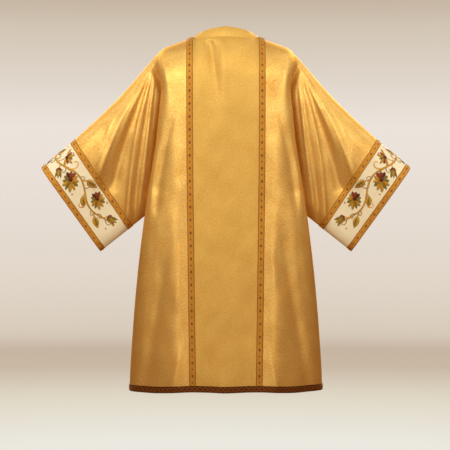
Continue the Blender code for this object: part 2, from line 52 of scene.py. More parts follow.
# Sizes of the garment, as in its solids
BRAID_WIDTH = 21.0 * MM
EMBROIDERED_WIDTH = 105.0 * MM
HEM_HEIGHT = -1.168
SHOULDER_TIP = (0.232, -0.066)
UNDERARM = (0.235, -0.570)
CUFF_TOP = (0.6116, -0.4376)
CUFF_FOOT = (0.4160, -0.7127)
NECK_CORNER = 0.1085
BODY_ROUNDNESS = 2.3
SHOULDER_DROP = 0.130
YOKE_FOLDS_FROM = 0.052
SIDE_FOLDS_FROM = 0.5
YOKE_FOOT = -0.300
UNDERARM_DROP = 0.110
FRONT_TUCK = 4.0 * MM

Section = namedtuple("Section", "height fold_x fold_y seam_x seam_y back_y front_y braid")
BODY = [
    Section(-0.066, 0.2220, 0.056, 0.2320, 0.052, 0.106, 0.104, 0.1190),
    Section(-0.096, 0.2262, 0.060, 0.2265, 0.052, 0.114, 0.114, 0.1190),
    Section(-0.140, 0.2190, 0.068, 0.2070, 0.058, 0.122, 0.126, 0.1190),
    Section(-0.192, 0.2130, 0.075, 0.1960, 0.059, 0.127, 0.135, 0.1188),
    Section(-0.257, 0.2195, 0.080, 0.2010, 0.059, 0.130, 0.141, 0.1186),
    Section(-0.345, 0.2280, 0.082, 0.2080, 0.057, 0.132, 0.145, 0.1180),
    Section(-0.434, 0.2420, 0.080, 0.2160, 0.054, 0.134, 0.148, 0.1175),
    Section(-0.524, 0.2560, 0.075, 0.2270, 0.050, 0.137, 0.151, 0.1165),
    Section(-0.570, 0.2630, 0.072, 0.2350, 0.046, 0.139, 0.153, 0.1160),
    Section(-0.640, 0.2730, 0.066, 0.2450, 0.000, 0.143, 0.156, 0.1150),
    Section(-0.800, 0.2920, 0.050, 0.2720, 0.000, 0.152, 0.164, 0.1130),
    Section(-0.970, 0.3070, 0.032, 0.2980, 0.000, 0.163, 0.174, 0.1105),
    Section(-1.168, 0.3180, 0.014, 0.3170, 0.000, 0.176, 0.186, 0.1080),
]
Outline = namedtuple("Outline", "x height")
SHOULDER = [
    Outline(0.1085, -0.0040),
    Outline(0.1326, -0.0133),
    Outline(0.1670, -0.0265),
    Outline(0.2020, -0.0398),
    Outline(0.2204, -0.0530),
    Outline(*SHOULDER_TIP),
]
SLEEVE_TOP = [
    Outline(*SHOULDER_TIP),
    Outline(0.2420, -0.0796),
    Outline(0.2685, -0.1127),
    Outline(0.3613, -0.2122),
    Outline(0.4293, -0.2785),
    Outline(0.5020, -0.3448),
    Outline(*CUFF_TOP),
]
Neck = namedtuple("Neck", "angle seam_y seam_z edge_x edge_y edge_z")
NECK = [
    Neck(0, -0.0850, -0.0080, 0.0000, -0.0720, 0.0265),
    Neck(30, -0.0736, -0.0110, 0.0440, -0.0624, 0.0205),
    Neck(60, -0.0425, -0.0150, 0.0762, -0.0360, 0.0125),
    Neck(90, 0.0000, -0.0040, 0.0880, 0.0000, 0.0085),
    Neck(120, 0.0500, -0.0280, 0.0762, 0.0425, -0.0050),
    Neck(150, 0.0866, -0.0660, 0.0440, 0.0736, -0.0380),
    Neck(180, 0.1000, -0.0850, 0.0000, 0.0850, -0.0540),
]
BAND_BULGE = 2.0 * MM
SleeveDepth = namedtuple("SleeveDepth", "share depth")
SLEEVE_DEPTH = [
    SleeveDepth(0.0, 0.058),
    SleeveDepth(0.5, 0.060),
    SleeveDepth(1.0, 0.055),
]
SLEEVE_FULLEST = 0.20
SLEEVE_FOOT_SHARE = 0.50
SLEEVE_FOOT_ROUND = 0.12
ARMHOLE_BLEND = 0.30
TUCK_ENDS = 0.26
LEVEL_FROM = 0.60
LEAVE_PULL = 0.80
MEET_PULL = 1.1
AHEAD_STEP = 10 * MM
FOLDS_FULL_AT = 0.6
CUFF_FOOT_SHARE = 0.93

Fold = namedtuple("Fold", "head_x head_z foot_x foot_z head_wide foot_wide head_deep foot_deep")
BACK_FOLDS = [
    Fold(-0.043, -0.040, -0.034, -0.240, 0.016, 0.026, -0.007, 0.000),
    Fold(0.010, -0.060, 0.006, -0.330, 0.016, 0.030, 0.004, 0.000),
    Fold(-0.160, -0.350, -0.158, -1.200, 0.030, 0.045, 0.002, 0.014),
    Fold(0.160, -0.380, 0.152, -1.200, 0.030, 0.045, 0.002, 0.015),
    Fold(-0.200, -0.700, -0.262, -1.200, 0.024, 0.030, -0.002, -0.010),
    Fold(0.188, -0.640, 0.266, -1.200, 0.024, 0.030, -0.002, -0.009),
    Fold(-0.060, -0.800, -0.055, -1.200, 0.030, 0.042, 0.000, -0.008),
    Fold(0.050, -0.760, 0.062, -1.200, 0.030, 0.042, 0.000, -0.009),
    Fold(-0.180, -0.280, -0.222, -0.500, 0.012, 0.024, 0.000, -0.005),
    Fold(0.178, -0.270, 0.222, -0.510, 0.012, 0.024, 0.000, -0.005),
]
FRONT_FOLDS = [
    Fold(-0.050, -0.120, -0.020, -0.420, 0.018, 0.030, -0.006, 0.000),
    Fold(0.056, -0.130, 0.030, -0.380, 0.018, 0.030, -0.005, 0.000),
    Fold(-0.150, -0.400, -0.166, -1.200, 0.030, 0.045, 0.002, 0.016),
    Fold(0.156, -0.360, 0.158, -1.200, 0.030, 0.045, 0.002, 0.014),
    Fold(-0.196, -0.620, -0.256, -1.200, 0.024, 0.032, -0.002, -0.009),
    Fold(0.200, -0.720, 0.260, -1.200, 0.024, 0.032, -0.002, -0.010),
    Fold(0.000, -0.700, 0.006, -1.200, 0.034, 0.050, 0.000, -0.012),
    Fold(-0.178, -0.260, -0.214, -0.490, 0.012, 0.024, 0.000, -0.005),
    Fold(0.180, -0.300, 0.216, -0.480, 0.012, 0.024, 0.000, -0.005),
]
SLEEVE_FOLDS = [
    Fold(0.252, -0.118, 0.425, -0.480, 0.007, 0.026, 0.004, 0.010),
    Fold(0.256, -0.136, 0.378, -0.500, 0.007, 0.026, -0.003, -0.010),
    Fold(0.246, -0.120, 0.326, -0.610, 0.006, 0.015, 0.005, 0.008),
    Fold(0.242, -0.142, 0.306, -0.560, 0.006, 0.014, -0.004, -0.002),
    Fold(0.238, -0.130, 0.290, -0.580, 0.006, 0.014, 0.006, 0.003),
]
HemDrop = namedtuple("HemDrop", "x drop")
HEM_DROPS = [
    HemDrop(-0.32, 0.004),
    HemDrop(-0.25, 0.006),
    HemDrop(-0.11, 0.000),
    HemDrop(0.00, 0.003),
    HemDrop(0.11, 0.000),
    HemDrop(0.22, 0.004),
    HemDrop(0.32, 0.001),
]
HEM_DROP_FROM = -0.75

# Creases, finer than the folds. Each is a line in the front view from a head to a foot, bowed
# sideways in the middle. It is wide by one size on its side towards -X and by another towards +X,
# so that a narrow side gives a crisp fold. Above 0 it stands out, below 0 it sinks in.
Crease = namedtuple(
    "Crease", "head_x head_z foot_x foot_z bow wide_minus wide_plus head_deep foot_deep"
)
BACK_CREASES = [
    Crease(-0.054, -0.014, -0.032, -0.250, 0.004, 0.030, 0.018, -0.0125, -0.0024),
    Crease(-0.012, -0.030, -0.004, -0.240, 0.002, 0.016, 0.028, 0.0060, 0.0014),
    Crease(0.044, -0.036, 0.048, -0.150, 0.003, 0.012, 0.010, -0.0026, -0.0006),
    Crease(-0.200, -0.120, -0.192, -0.280, 0.004, 0.020, 0.018, 0.0030, 0.0006),
    Crease(-0.170, -0.270, -0.226, -0.560, -0.006, 0.026, 0.014, -0.0006, -0.0060),
    Crease(-0.212, -0.330, -0.248, -0.560, -0.004, 0.012, 0.014, 0.0006, 0.0026),
    Crease(0.172, -0.260, 0.228, -0.540, 0.005, 0.014, 0.028, -0.0006, -0.0056),
    Crease(0.202, -0.130, 0.194, -0.270, -0.004, 0.018, 0.020, 0.0028, 0.0006),
    Crease(0.214, -0.340, 0.250, -0.580, 0.004, 0.014, 0.012, 0.0006, 0.0026),
    Crease(-0.146, -0.600, -0.158, -0.860, 0.004, 0.016, 0.014, -0.0004, 0.0022),
    Crease(-0.128, -0.960, -0.168, -1.120, 0.004, 0.014, 0.018, 0.0004, 0.0036),
    Crease(-0.186, -0.700, -0.268, -1.150, 0.002, 0.022, 0.016, -0.0004, -0.0032),
    Crease(-0.238, -0.760, -0.300, -1.170, -0.004, 0.016, 0.018, 0.0004, 0.0018),
    Crease(0.150, -0.560, 0.158, -0.800, -0.004, 0.014, 0.016, -0.0004, 0.0022),
    Crease(0.128, -0.990, 0.166, -1.140, -0.004, 0.018, 0.014, 0.0004, 0.0034),
    Crease(0.184, -0.690, 0.268, -1.150, -0.002, 0.016, 0.022, -0.0004, -0.0034),
    Crease(0.236, -0.800, 0.298, -1.170, 0.004, 0.018, 0.016, 0.0004, 0.0020),
    Crease(-0.236, -0.660, -0.262, -0.930, 0.004, 0.022, 0.016, -0.0004, -0.0024),
    Crease(0.236, -0.690, 0.268, -0.960, -0.004, 0.016, 0.022, -0.0004, -0.0022),
    Crease(-0.084, -0.880, -0.090, -1.180, 0.000, 0.020, 0.014, 0.0000, 0.0034),
    Crease(-0.018, -0.980, -0.014, -1.180, 0.000, 0.022, 0.026, 0.0000, 0.0040),
    Crease(0.084, -0.900, 0.092, -1.180, 0.000, 0.014, 0.020, 0.0000, 0.0030),
]
FRONT_CREASES = [
    Crease(-0.060, -0.110, -0.036, -0.330, 0.004, 0.010, 0.014, -0.0036, -0.0010),
    Crease(0.064, -0.112, 0.040, -0.300, -0.004, 0.014, 0.010, -0.0030, -0.0008),
    Crease(0.010, -0.130, 0.004, -0.340, 0.003, 0.012, 0.012, 0.0020, 0.0006),
    Crease(-0.200, -0.120, -0.188, -0.320, 0.004, 0.014, 0.010, 0.0028, 0.0010),
    Crease(-0.172, -0.290, -0.224, -0.560, -0.005, 0.024, 0.014, -0.0006, -0.0054),
    Crease(0.170, -0.270, 0.226, -0.570, 0.006, 0.014, 0.026, -0.0006, -0.0058),
    Crease(0.200, -0.110, 0.188, -0.310, -0.004, 0.010, 0.014, 0.0026, 0.0012),
    Crease(-0.144, -0.640, -0.158, -0.900, 0.004, 0.016, 0.014, -0.0004, 0.0022),
    Crease(-0.130, -0.980, -0.168, -1.140, 0.004, 0.014, 0.018, 0.0004, 0.0034),
    Crease(-0.184, -0.660, -0.256, -1.160, 0.003, 0.020, 0.016, -0.0004, -0.0034),
    Crease(-0.236, -0.780, -0.294, -1.170, -0.004, 0.016, 0.018, 0.0004, 0.0020),
    Crease(0.148, -0.580, 0.158, -0.820, -0.004, 0.014, 0.016, -0.0004, 0.0022),
    Crease(0.128, -0.960, 0.164, -1.110, -0.004, 0.018, 0.014, 0.0004, 0.0036),
    Crease(0.186, -0.720, 0.262, -1.160, -0.003, 0.016, 0.020, -0.0004, -0.0032),
    Crease(0.240, -0.770, 0.292, -1.170, 0.004, 0.018, 0.016, 0.0004, 0.0018),
    Crease(-0.050, -0.860, -0.058, -1.180, 0.000, 0.018, 0.016, 0.0000, 0.0040),
    Crease(0.052, -0.900, 0.060, -1.180, 0.000, 0.016, 0.018, 0.0000, 0.0044),
]
# The sleeve's creases are for |x|: minus is the side towards the body.
SLEEVE_BACK_CREASES = [
    Crease(0.252, -0.120, 0.412, -0.452, 0.013, 0.008, 0.032, 0.0020, 0.0090),
    Crease(0.248, -0.136, 0.366, -0.470, 0.012, 0.016, 0.008, -0.0026, -0.0054),
    Crease(0.243, -0.122, 0.324, -0.600, 0.016, 0.010, 0.011, 0.0036, 0.0080),
    Crease(0.240, -0.150, 0.299, -0.580, 0.012, 0.009, 0.009, -0.0020, -0.0044),
    Crease(0.237, -0.124, 0.284, -0.540, -0.004, 0.009, 0.009, 0.0030, 0.0050),
    Crease(0.392, -0.330, 0.438, -0.450, 0.004, 0.012, 0.010, 0.0020, 0.0004),
    Crease(0.330, -0.230, 0.398, -0.360, 0.004, 0.010, 0.016, -0.0014, -0.0004),
    Crease(0.430, -0.430, 0.470, -0.530, 0.003, 0.012, 0.012, -0.0016, -0.0030),
]
SLEEVE_FRONT_CREASES = [
    Crease(0.254, -0.122, 0.430, -0.440, 0.010, 0.008, 0.028, 0.0018, 0.0074),
    Crease(0.250, -0.140, 0.380, -0.468, 0.010, 0.016, 0.008, -0.0024, -0.0052),
    Crease(0.243, -0.122, 0.334, -0.590, 0.014, 0.010, 0.011, 0.0034, 0.0074),
    Crease(0.238, -0.126, 0.294, -0.530, -0.006, 0.009, 0.009, 0.0024, 0.0042),
    Crease(0.380, -0.310, 0.424, -0.430, 0.004, 0.012, 0.010, 0.0020, 0.0004),
    Crease(0.420, -0.460, 0.452, -0.560, 0.003, 0.012, 0.012, -0.0014, -0.0026),
]
# A crease starts at this share of its full width, and ends over this length past each end.
CREASE_HEAD_SHARE = 0.45
CREASE_END = 40 * MM
# The right sleeve's creases lie a little off the left one's mirror image.
RIGHT_SHIFT = (0.004, -0.007)
RIGHT_POWER = 0.88
# The sleeve sinks in beside the armhole: how far from the seam at the upper and the lower edge,
# over what width and how deep, and the length over which this eases in from both edges
Valley = namedtuple("Valley", "upper_far lower_far wide deep ends")
ARMHOLE_VALLEY = Valley(14 * MM, 37 * MM, 13 * MM, 31 * MM, 150 * MM)
# Creases fade out over this distance from a seam, and keep this share under a stiff band.
CREASE_FADE = 26 * MM
STIFF_SHARE = 0.30

# Slow unevenness of the whole cloth, as ripples in the front view: turns per metre across and
# down, a start, and a height
Ripple = namedtuple("Ripple", "across down start height")
RIPPLES = [
    Ripple(7.0, 2.1, 0.4, 0.0006),
    Ripple(-5.2, 3.4, 1.9, 0.0006),
    Ripple(12.3, -1.6, 2.7, 0.0004),
    Ripple(3.1, 8.7, 0.9, 0.0003),
    Ripple(17.9, 5.3, 4.1, 0.0002),
    Ripple(-14.1, 9.2, 5.0, 0.0002),
]

# Points along a fine line from which the grid's own are picked
ARMHOLE_SAMPLES = 2000
ROW_SAMPLES = 400
RING_SAMPLES = 600
LINE_SAMPLES = 400

# Grid lines of the fine cloth
ARMHOLE_ROWS = 110
ROWS_CLOSER = 0.45
SIDE_ROWS = 112
HEM_ROWS = 5
NECK_COLUMNS = 24
NECK_ROUND = 0.8
BRAID_COLUMNS = 4
OUTER_COLUMNS = 42
RETURN_COLUMNS = 7
BLEND_RINGS = 44
PLAIN_RINGS = 34
BRAID_RINGS = 4
EMBROIDERED_RINGS = 20
BAND_ROWS = 7
# The side folds fade out over the turn to the seam and this many times its columns.
OUTER_OVER_TURN = 7 / 3
# Below the shoulder seam the columns settle to the section's own places over this height.
COLUMNS_SETTLE = 13 * MM

CLOTH_WALL = 1.4 * MM
SATIN_WALL = 0.5 * MM
LAY_GAP = 0.3 * MM
# A corner sharper than this, in degrees, is shaded as an edge.
SHARP_EDGE = 50

# Woven braid: a ground with a rounded selvedge cord along each edge, and two cords that cross to
# form eyes with a lozenge in each. A cord lifts where it passes over the other.
Braid = namedtuple("Braid", "pitch swing ground edge_cord cross_cord lozenge_long lozenge_wide")
LONG_BRAID = Braid(21 * MM, 0.62, 0.9 * MM, 1.1 * MM, 0.9 * MM, 12.0 * MM, 8.6 * MM)
CUFF_BRAID = Braid(24 * MM, 0.62, 0.9 * MM, 1.1 * MM, 1.0 * MM, 11.0 * MM, 8.0 * MM)
HEM_BRAID = Braid(17 * MM, 0.56, 0.9 * MM, 1.1 * MM, 1.5 * MM, 9.0 * MM, 7.0 * MM)
BRAID_STEP = 2.4 * MM
BRAID_CELLS = 8
BRAID_EDGE_AT = 0.90
CORD_SIDES = 6
CROSSING_LIFT = 0.35 * MM
# The ground is thinner at its edges by this share.
GROUND_CROWN = 0.35
LOZENGE_SUNK = 0.1 * MM
LOZENGE_HEIGHT = 0.7 * MM
KNOT_LONG = 3.0 * MM
KNOT_WIDE = 2.6 * MM
KNOT_HEIGHT = 1.0 * MM
# Stitches, real ones being about 3 mm long, drawn a little thicker than their thread
STITCH_STEP = 3.2 * MM
STITCH_WIDTH = 1.0 * MM
STITCH_HEIGHT = 0.55 * MM
STITCH_AT = 0.76  # of a braid's half width
# Every other lozenge is this much smaller.
WEAK_LOZENGE = 0.64


# Curves through the tables

def eased_between(t, start, leave, end, arrive):
    """A curve from start (t 0) to end (t 1) that leaves and arrives by these steps."""
    return (
        (1 + 2 * t) * (1 - t) ** 2 * start
        + t * (1 - t) ** 2 * leave
        + t**2 * (3 - 2 * t) * end
        + t**2 * (t - 1) * arrive
    )


def slopes_of(x, y):
    """Slopes at the points of a table that keep the curve from swinging past them. It leaves
    both ends level."""
    step = np.diff(x)
    rise = np.diff(y) / step
    slope = np.zeros(len(x))
    for i in range(1, len(x) - 1):
        if rise[i - 1] * rise[i] > 0:
            before = 2 * step[i] + step[i - 1]
            after = step[i] + 2 * step[i - 1]
            slope[i] = (before + after) / (before / rise[i - 1] + after / rise[i])
    return slope


def curve(table, key, column, at):
    """The table's column at these values of its key column, along one smooth curve."""
    rows = sorted(table, key=lambda row: getattr(row, key))
    x = np.array([getattr(row, key) for row in rows], float)
    y = np.array([getattr(row, column) for row in rows], float)
    at = np.clip(np.asarray(at, float), x[0], x[-1])
    slope = slopes_of(x, y)
    i = np.clip(np.searchsorted(x, at, side="right") - 1, 0, len(x) - 2)
    step = x[i + 1] - x[i]
    t = (at - x[i]) / step
    return eased_between(t, y[i], step * slope[i], y[i + 1], step * slope[i + 1])


def smooth(t):
    t = np.clip(t, 0, 1)
    return t * t * (3 - 2 * t)


def round_over(distance, reach):
    """From 0 to 1 like a quarter of an ellipse, over this reach."""
    t = np.clip(distance / reach, 0, 1)
    return np.sqrt(np.maximum(0, 1 - (1 - t) ** 2))


def lengths(points, axis=0):
    """Distances along a line of points, from 0."""
    size = np.linalg.norm(np.diff(points, axis=axis), axis=-1)
    first = np.zeros_like(np.take(size, [0], axis=axis))
    return np.concatenate([first, np.cumsum(size, axis=axis)], axis=axis)


def unit(vectors):
    """The vectors at length 1."""
    return vectors / np.maximum(np.linalg.norm(vectors, axis=-1, keepdims=True), 1e-12)


def folds_at(x, z, folds):
    """How far the cloth stands out at points of the front view."""
    total = np.zeros(np.broadcast(x, z).shape)
    for f in folds:
        run_x, run_z = f.foot_x - f.head_x, f.foot_z - f.head_z
        along = ((x - f.head_x) * run_x + (z - f.head_z) * run_z) / (run_x**2 + run_z**2)
        along = np.clip(along, 0, 1)
        off = np.hypot(x - f.head_x - along * run_x, z - f.head_z - along * run_z)
        wide = f.head_wide + (f.foot_wide - f.head_wide) * along
        deep = f.head_deep + (f.foot_deep - f.head_deep) * along
        total = total + deep * np.exp(-((off / wide) ** 2))
    return total


def creases_at(x, z, creases):
    """How far bowed, one-sided creases stand out at points of the front view."""
    total = np.zeros(x.shape)
    for c in creases:
        run = np.array([c.foot_x - c.head_x, c.foot_z - c.head_z])
        length = np.hypot(*run)
        way = run / length
        side = np.array([-way[1], way[0]])
        along = ((x - c.head_x) * way[0] + (z - c.head_z) * way[1]) / length
        kept = np.clip(along, 0, 1)
        bow = c.bow * 4 * kept * (1 - kept)
        off = (x - c.head_x) * side[0] + (z - c.head_z) * side[1] - bow
        past = (along - kept) * length
        wide = np.where(off > 0, c.wide_plus, c.wide_minus)
        wide = wide * (CREASE_HEAD_SHARE + (1 - CREASE_HEAD_SHARE) * kept)
        deep = c.head_deep + (c.foot_deep - c.head_deep) * kept
        total += deep * np.exp(-((off / wide) ** 2) - (past / CREASE_END) ** 2)
    return total


def ripples_at(x, z):
    """How far the slow unevenness stands out at points of the front view."""
    turn = 2 * np.pi
    return sum(r.height * np.sin(turn * (r.across * x + r.down * z) + r.start) for r in RIPPLES)


# The body

def seam_depth(height):
    """Half the width of the armhole at this height: closed at the shoulder and underarm."""
    return (
        curve(BODY, "height", "seam_y", height)
        * round_over(SHOULDER_TIP[1] - height, SHOULDER_DROP)
        * round_over(height - UNDERARM[1], UNDERARM_DROP)
    )


def row_heights():
    """Heights of the body's rows at the seam: along the armhole, down the side, over the hem."""
    fine = np.linspace(SHOULDER_TIP[1], UNDERARM[1], ARMHOLE_SAMPLES)
    run = lengths(np.stack([fine, seam_depth(fine)], axis=1))
    even = np.linspace(0, 1, ARMHOLE_ROWS + 1)
    closer = even - ROWS_CLOSER * np.sin(2 * np.pi * even) / (2 * np.pi)
    armhole = np.interp(closer * run[-1], run, fine)
    braid_top = HEM_HEIGHT + BRAID_WIDTH
    side = np.linspace(UNDERARM[1], braid_top, SIDE_ROWS + 1)[1:]
    hem = np.linspace(braid_top, HEM_HEIGHT, HEM_ROWS + 1)[1:]
    return np.concatenate([armhole, side, hem])


def neck_shares():
    """Places of the neck's columns, as shares from the middle to its corner."""
    even = np.linspace(0, 1, NECK_COLUMNS + 1)
    return NECK_ROUND * np.sin(np.pi / 2 * even) + (1 - NECK_ROUND) * even


def top_boundary(x, front):
    """Depth and height of a panel's top edge at x: along the neck seam, then the shoulder."""
    angle = np.degrees(np.arcsin(np.clip(x / NECK_CORNER, 0, 1)))
    angle = 180 - angle if front else angle
    at_neck = x <= NECK_CORNER
    depth = np.where(at_neck, np.abs(curve(NECK, "angle", "seam_y", angle)), 0.0)
    on_shoulder = curve(SHOULDER, "x", "height", x)
    height = np.where(at_neck, curve(NECK, "angle", "seam_z", angle), on_shoulder)
    return depth, height


def main_curve(height, middle_depth, tuck, arcs, outer_shares):
    """x and depth across one row, from the middle to the side fold, at these arc lengths and
    then at these shares of what is left."""
    fold_x = curve(BODY, "height", "fold_x", height) - tuck
    fold_y = curve(BODY, "height", "fold_y", height)
    turn = np.linspace(0, np.pi / 2, ROW_SAMPLES)
    x = fold_x * np.sin(turn) ** (2 / BODY_ROUNDNESS)
    depth = fold_y + (middle_depth - fold_y) * np.cos(turn) ** (2 / BODY_ROUNDNESS)
    run = lengths(np.stack([x, depth], axis=1))
    wanted = np.concatenate([arcs, arcs[-1] + (run[-1] - arcs[-1]) * outer_shares])
    return np.interp(wanted, run, x), np.interp(wanted, run, depth)


def half_panel(front):
    """Right half of a panel: rows from the top edge down, columns from the middle to the seam."""
    tuck = FRONT_TUCK if front else 0.0
    middle = "front_y" if front else "back_y"
    outer_shares = np.linspace(0, 1, OUTER_COLUMNS + 1)[1:]
    back_turn = np.linspace(0, 1, RETURN_COLUMNS + 1)[1:]
    half = BRAID_WIDTH / 2
    across_braid = np.linspace(-half, half, BRAID_COLUMNS + 1)[1:]
    rows = []
    for height in row_heights():
        braid = curve(BODY, "height", "braid", height)
        arcs = np.concatenate([(braid - half) * neck_shares(), braid + across_braid])
        depth_here = curve(BODY, "height", middle, height)
        x, depth = main_curve(height, depth_here, tuck, arcs, outer_shares)
        settled = smooth((SHOULDER_TIP[1] - height) / COLUMNS_SETTLE)
        if settled < 1:
            outer = (braid + half) + (BODY[0].fold_x - braid - half) * outer_shares
            shoulder = np.concatenate([NECK_CORNER * neck_shares(), braid + across_braid, outer])
            x = shoulder + (x - shoulder) * settled
        fold_x, fold_y = x[-1], depth[-1]
        seam_x = curve(BODY, "height", "seam_x", height)
        x = np.concatenate([x, fold_x + (seam_x - fold_x) * smooth(back_turn)])
        top_depth, top_height = top_boundary(x, front)
        left = np.clip((height - YOKE_FOOT) / (SHOULDER_TIP[1] - YOKE_FOOT), 0, 1)
        z = height + (top_height - SHOULDER_TIP[1]) * left
        over = round_over(top_height - z, SHOULDER_DROP)
        depth = np.concatenate([depth, np.full(RETURN_COLUMNS, fold_y)])
        depth = top_depth + (depth - top_depth) * over
        edge_depth = depth[-RETURN_COLUMNS - 1]
        target = float(seam_depth(height))
        depth[-RETURN_COLUMNS:] = edge_depth + (target - edge_depth) * back_turn
        rows.append(np.stack([x, depth, z], axis=1))
    return np.array(rows)


def panel_grid(front):
    """Outer points of a whole panel, with its creases. Rows x columns face outwards."""
    right = half_panel(front)
    left = right[:, :0:-1].copy()
    left[..., 0] *= -1
    grid = np.concatenate([left, right], axis=1)
    x, depth, z = grid[..., 0], grid[..., 1], grid[..., 2]
    folds = FRONT_FOLDS if front else BACK_FOLDS
    on_turn = 1 - np.linspace(0, 1, RETURN_COLUMNS + 1)[1:]
    on_outer = 1 + OUTER_OVER_TURN * (1 - np.linspace(0, 1, OUTER_COLUMNS + 1)[1:])
    inner = np.full(NECK_COLUMNS + 1 + BRAID_COLUMNS, 1 + OUTER_OVER_TURN)
    from_seam = np.concatenate([inner, on_outer, on_turn])
    inside = np.concatenate([from_seam[:0:-1], from_seam])
    below_top = np.clip((z[0] - z) / YOKE_FOLDS_FROM, 0, 1)
    depth += folds_at(x, z, folds) * smooth(inside - SIDE_FOLDS_FROM) * smooth(below_top)
    creases = FRONT_CREASES if front else BACK_CREASES
    fade = smooth((z[0] - z) / CREASE_FADE) * smooth(lengths(grid, axis=1) / CREASE_FADE)
    fade = fade * smooth(lengths(grid[:, ::-1], axis=1)[:, ::-1] / CREASE_FADE)
    depth += (creases_at(x, z, creases) + ripples_at(x, z)) * fade
    low = np.clip((HEM_DROP_FROM - z) / (HEM_DROP_FROM - HEM_HEIGHT), 0, 1)
    z -= curve(HEM_DROPS, "x", "drop", x) * low**2
    grid[..., 1] = depth if front else -depth
    return grid[:, ::-1] if front else grid


# The sleeves

def along_line(points, distance):
    """Points of a line at these distances from its end, measured back towards its start."""
    line = np.array(points)
    run = lengths(line)
    back = run[-1] - np.asarray(distance, float)
    return np.stack([np.interp(back, run, line[:, 0]), np.interp(back, run, line[:, 1])], axis=-1)


def sleeve_lengths():
    """The sleeve's lengths along its upper edge and its lower one."""
    upper = lengths(np.array(SLEEVE_TOP))[-1]
    lower = np.hypot(CUFF_FOOT[0] - UNDERARM[0], CUFF_FOOT[1] - UNDERARM[1])
    return upper, lower


def cuff_length():
    return 2 * BRAID_WIDTH + EMBROIDERED_WIDTH


def foot_distance(upper_distance):
    """Distance from the cuff along the lower edge that goes with one along the upper edge."""
    upper, lower = sleeve_lengths()
    cuff = cuff_length()
    cuff_foot = cuff * CUFF_FOOT_SHARE
    beyond = (upper_distance - cuff) / (upper - cuff)
    if upper_distance <= cuff:
        return upper_distance * CUFF_FOOT_SHARE
    return cuff_foot + beyond * (lower - cuff_foot)


def sleeve_profile(down):
    """Depth share of half a sleeve from its upper edge (0) to its lower edge (1)."""
    taper = 1 - (1 - SLEEVE_FOOT_SHARE) * smooth((down - SLEEVE_FULLEST) / (1 - SLEEVE_FULLEST))
    return round_over(down, SLEEVE_FULLEST) * taper * round_over(1 - down, SLEEVE_FOOT_ROUND)


def plain_section(upper_distance, shares):
    """Points of half a ring of the sleeve in plain form, at these shares of its arc length."""
    head = along_line(SLEEVE_TOP, upper_distance)
    foot = along_line([UNDERARM, CUFF_FOOT], foot_distance(upper_distance))
    length = np.hypot(*(foot - head))
    share = 1 - upper_distance / sleeve_lengths()[0]
    fullest = curve(SLEEVE_DEPTH, "share", "depth", share)
    down = (1 - np.cos(np.linspace(0, np.pi, RING_SAMPLES))) / 2
    depth = fullest * sleeve_profile(down)
    run = lengths(np.stack([down * length, depth], axis=1))
    down_at = np.interp(shares * run[-1], run, down)
    depth_at = np.interp(shares * run[-1], run, depth)
    place = head + (foot - head) * down_at[:, None]
    return np.stack([place[:, 0], depth_at, place[:, 1]], axis=1)


def half_sleeve():
    """Half a sleeve with x and depth positive: rings from the armhole to the cuff, columns from
    the upper edge to the lower edge. It leaves the armhole into the tuck behind the side fold."""
    heights = row_heights()[: ARMHOLE_ROWS + 1]
    seam_x = curve(BODY, "height", "seam_x", heights)
    seam = np.stack([seam_x, seam_depth(heights), heights], axis=1)
    run = lengths(seam[:, 1:])
    shares = run / run[-1]
    upper, _ = sleeve_lengths()
    blend_end = upper * (1 - ARMHOLE_BLEND)
    first = plain_section(blend_end, shares)
    ahead = unit(plain_section(blend_end - AHEAD_STEP, shares) - first)
    span = np.linalg.norm(first - seam, axis=1)[:, None]
    tangent = np.gradient(seam, axis=0)
    inwards = np.stack([np.zeros(len(seam)), tangent[:, 2], -tangent[:, 1]], axis=1)
    inwards[0], inwards[-1] = (0, 0, -1), (0, 0, 1)
    inwards = unit(inwards)
    middle = smooth(np.minimum(shares, 1 - shares) / TUCK_ENDS)[:, None]
    level = smooth((shares - LEVEL_FROM) / (1 - LEVEL_FROM))[:, None]
    outwards = ahead * (1 - level) + np.array([1.0, 0.0, 0.0]) * level
    leave = unit(outwards * (1 - middle) + inwards * middle)
    rings = []
    for t in np.linspace(0, 1, BLEND_RINGS + 1):
        ring = eased_between(t, seam, leave * span * LEAVE_PULL, first, ahead * span * MEET_PULL)
        rings.append((ring, smooth(t / FOLDS_FULL_AT)))
    cuff = cuff_length()
    stops = [blend_end, cuff, cuff - BRAID_WIDTH, BRAID_WIDTH, 0.0]
    counts = [PLAIN_RINGS, BRAID_RINGS, EMBROIDERED_RINGS, BRAID_RINGS]
    for start, end, count in zip(stops, stops[1:], counts):
        for distance in np.linspace(start, end, count + 1)[1:]:
            rings.append((plain_section(distance, shares), 1.0))
    points = np.array([ring for ring, _ in rings])
    strength = np.array([[power] for _, power in rings])
    across = sleeve_profile((1 - np.cos(np.pi * shares)) / 2)
    points[..., 1] += folds_at(points[..., 0], points[..., 2], SLEEVE_FOLDS) * strength * across
    return points


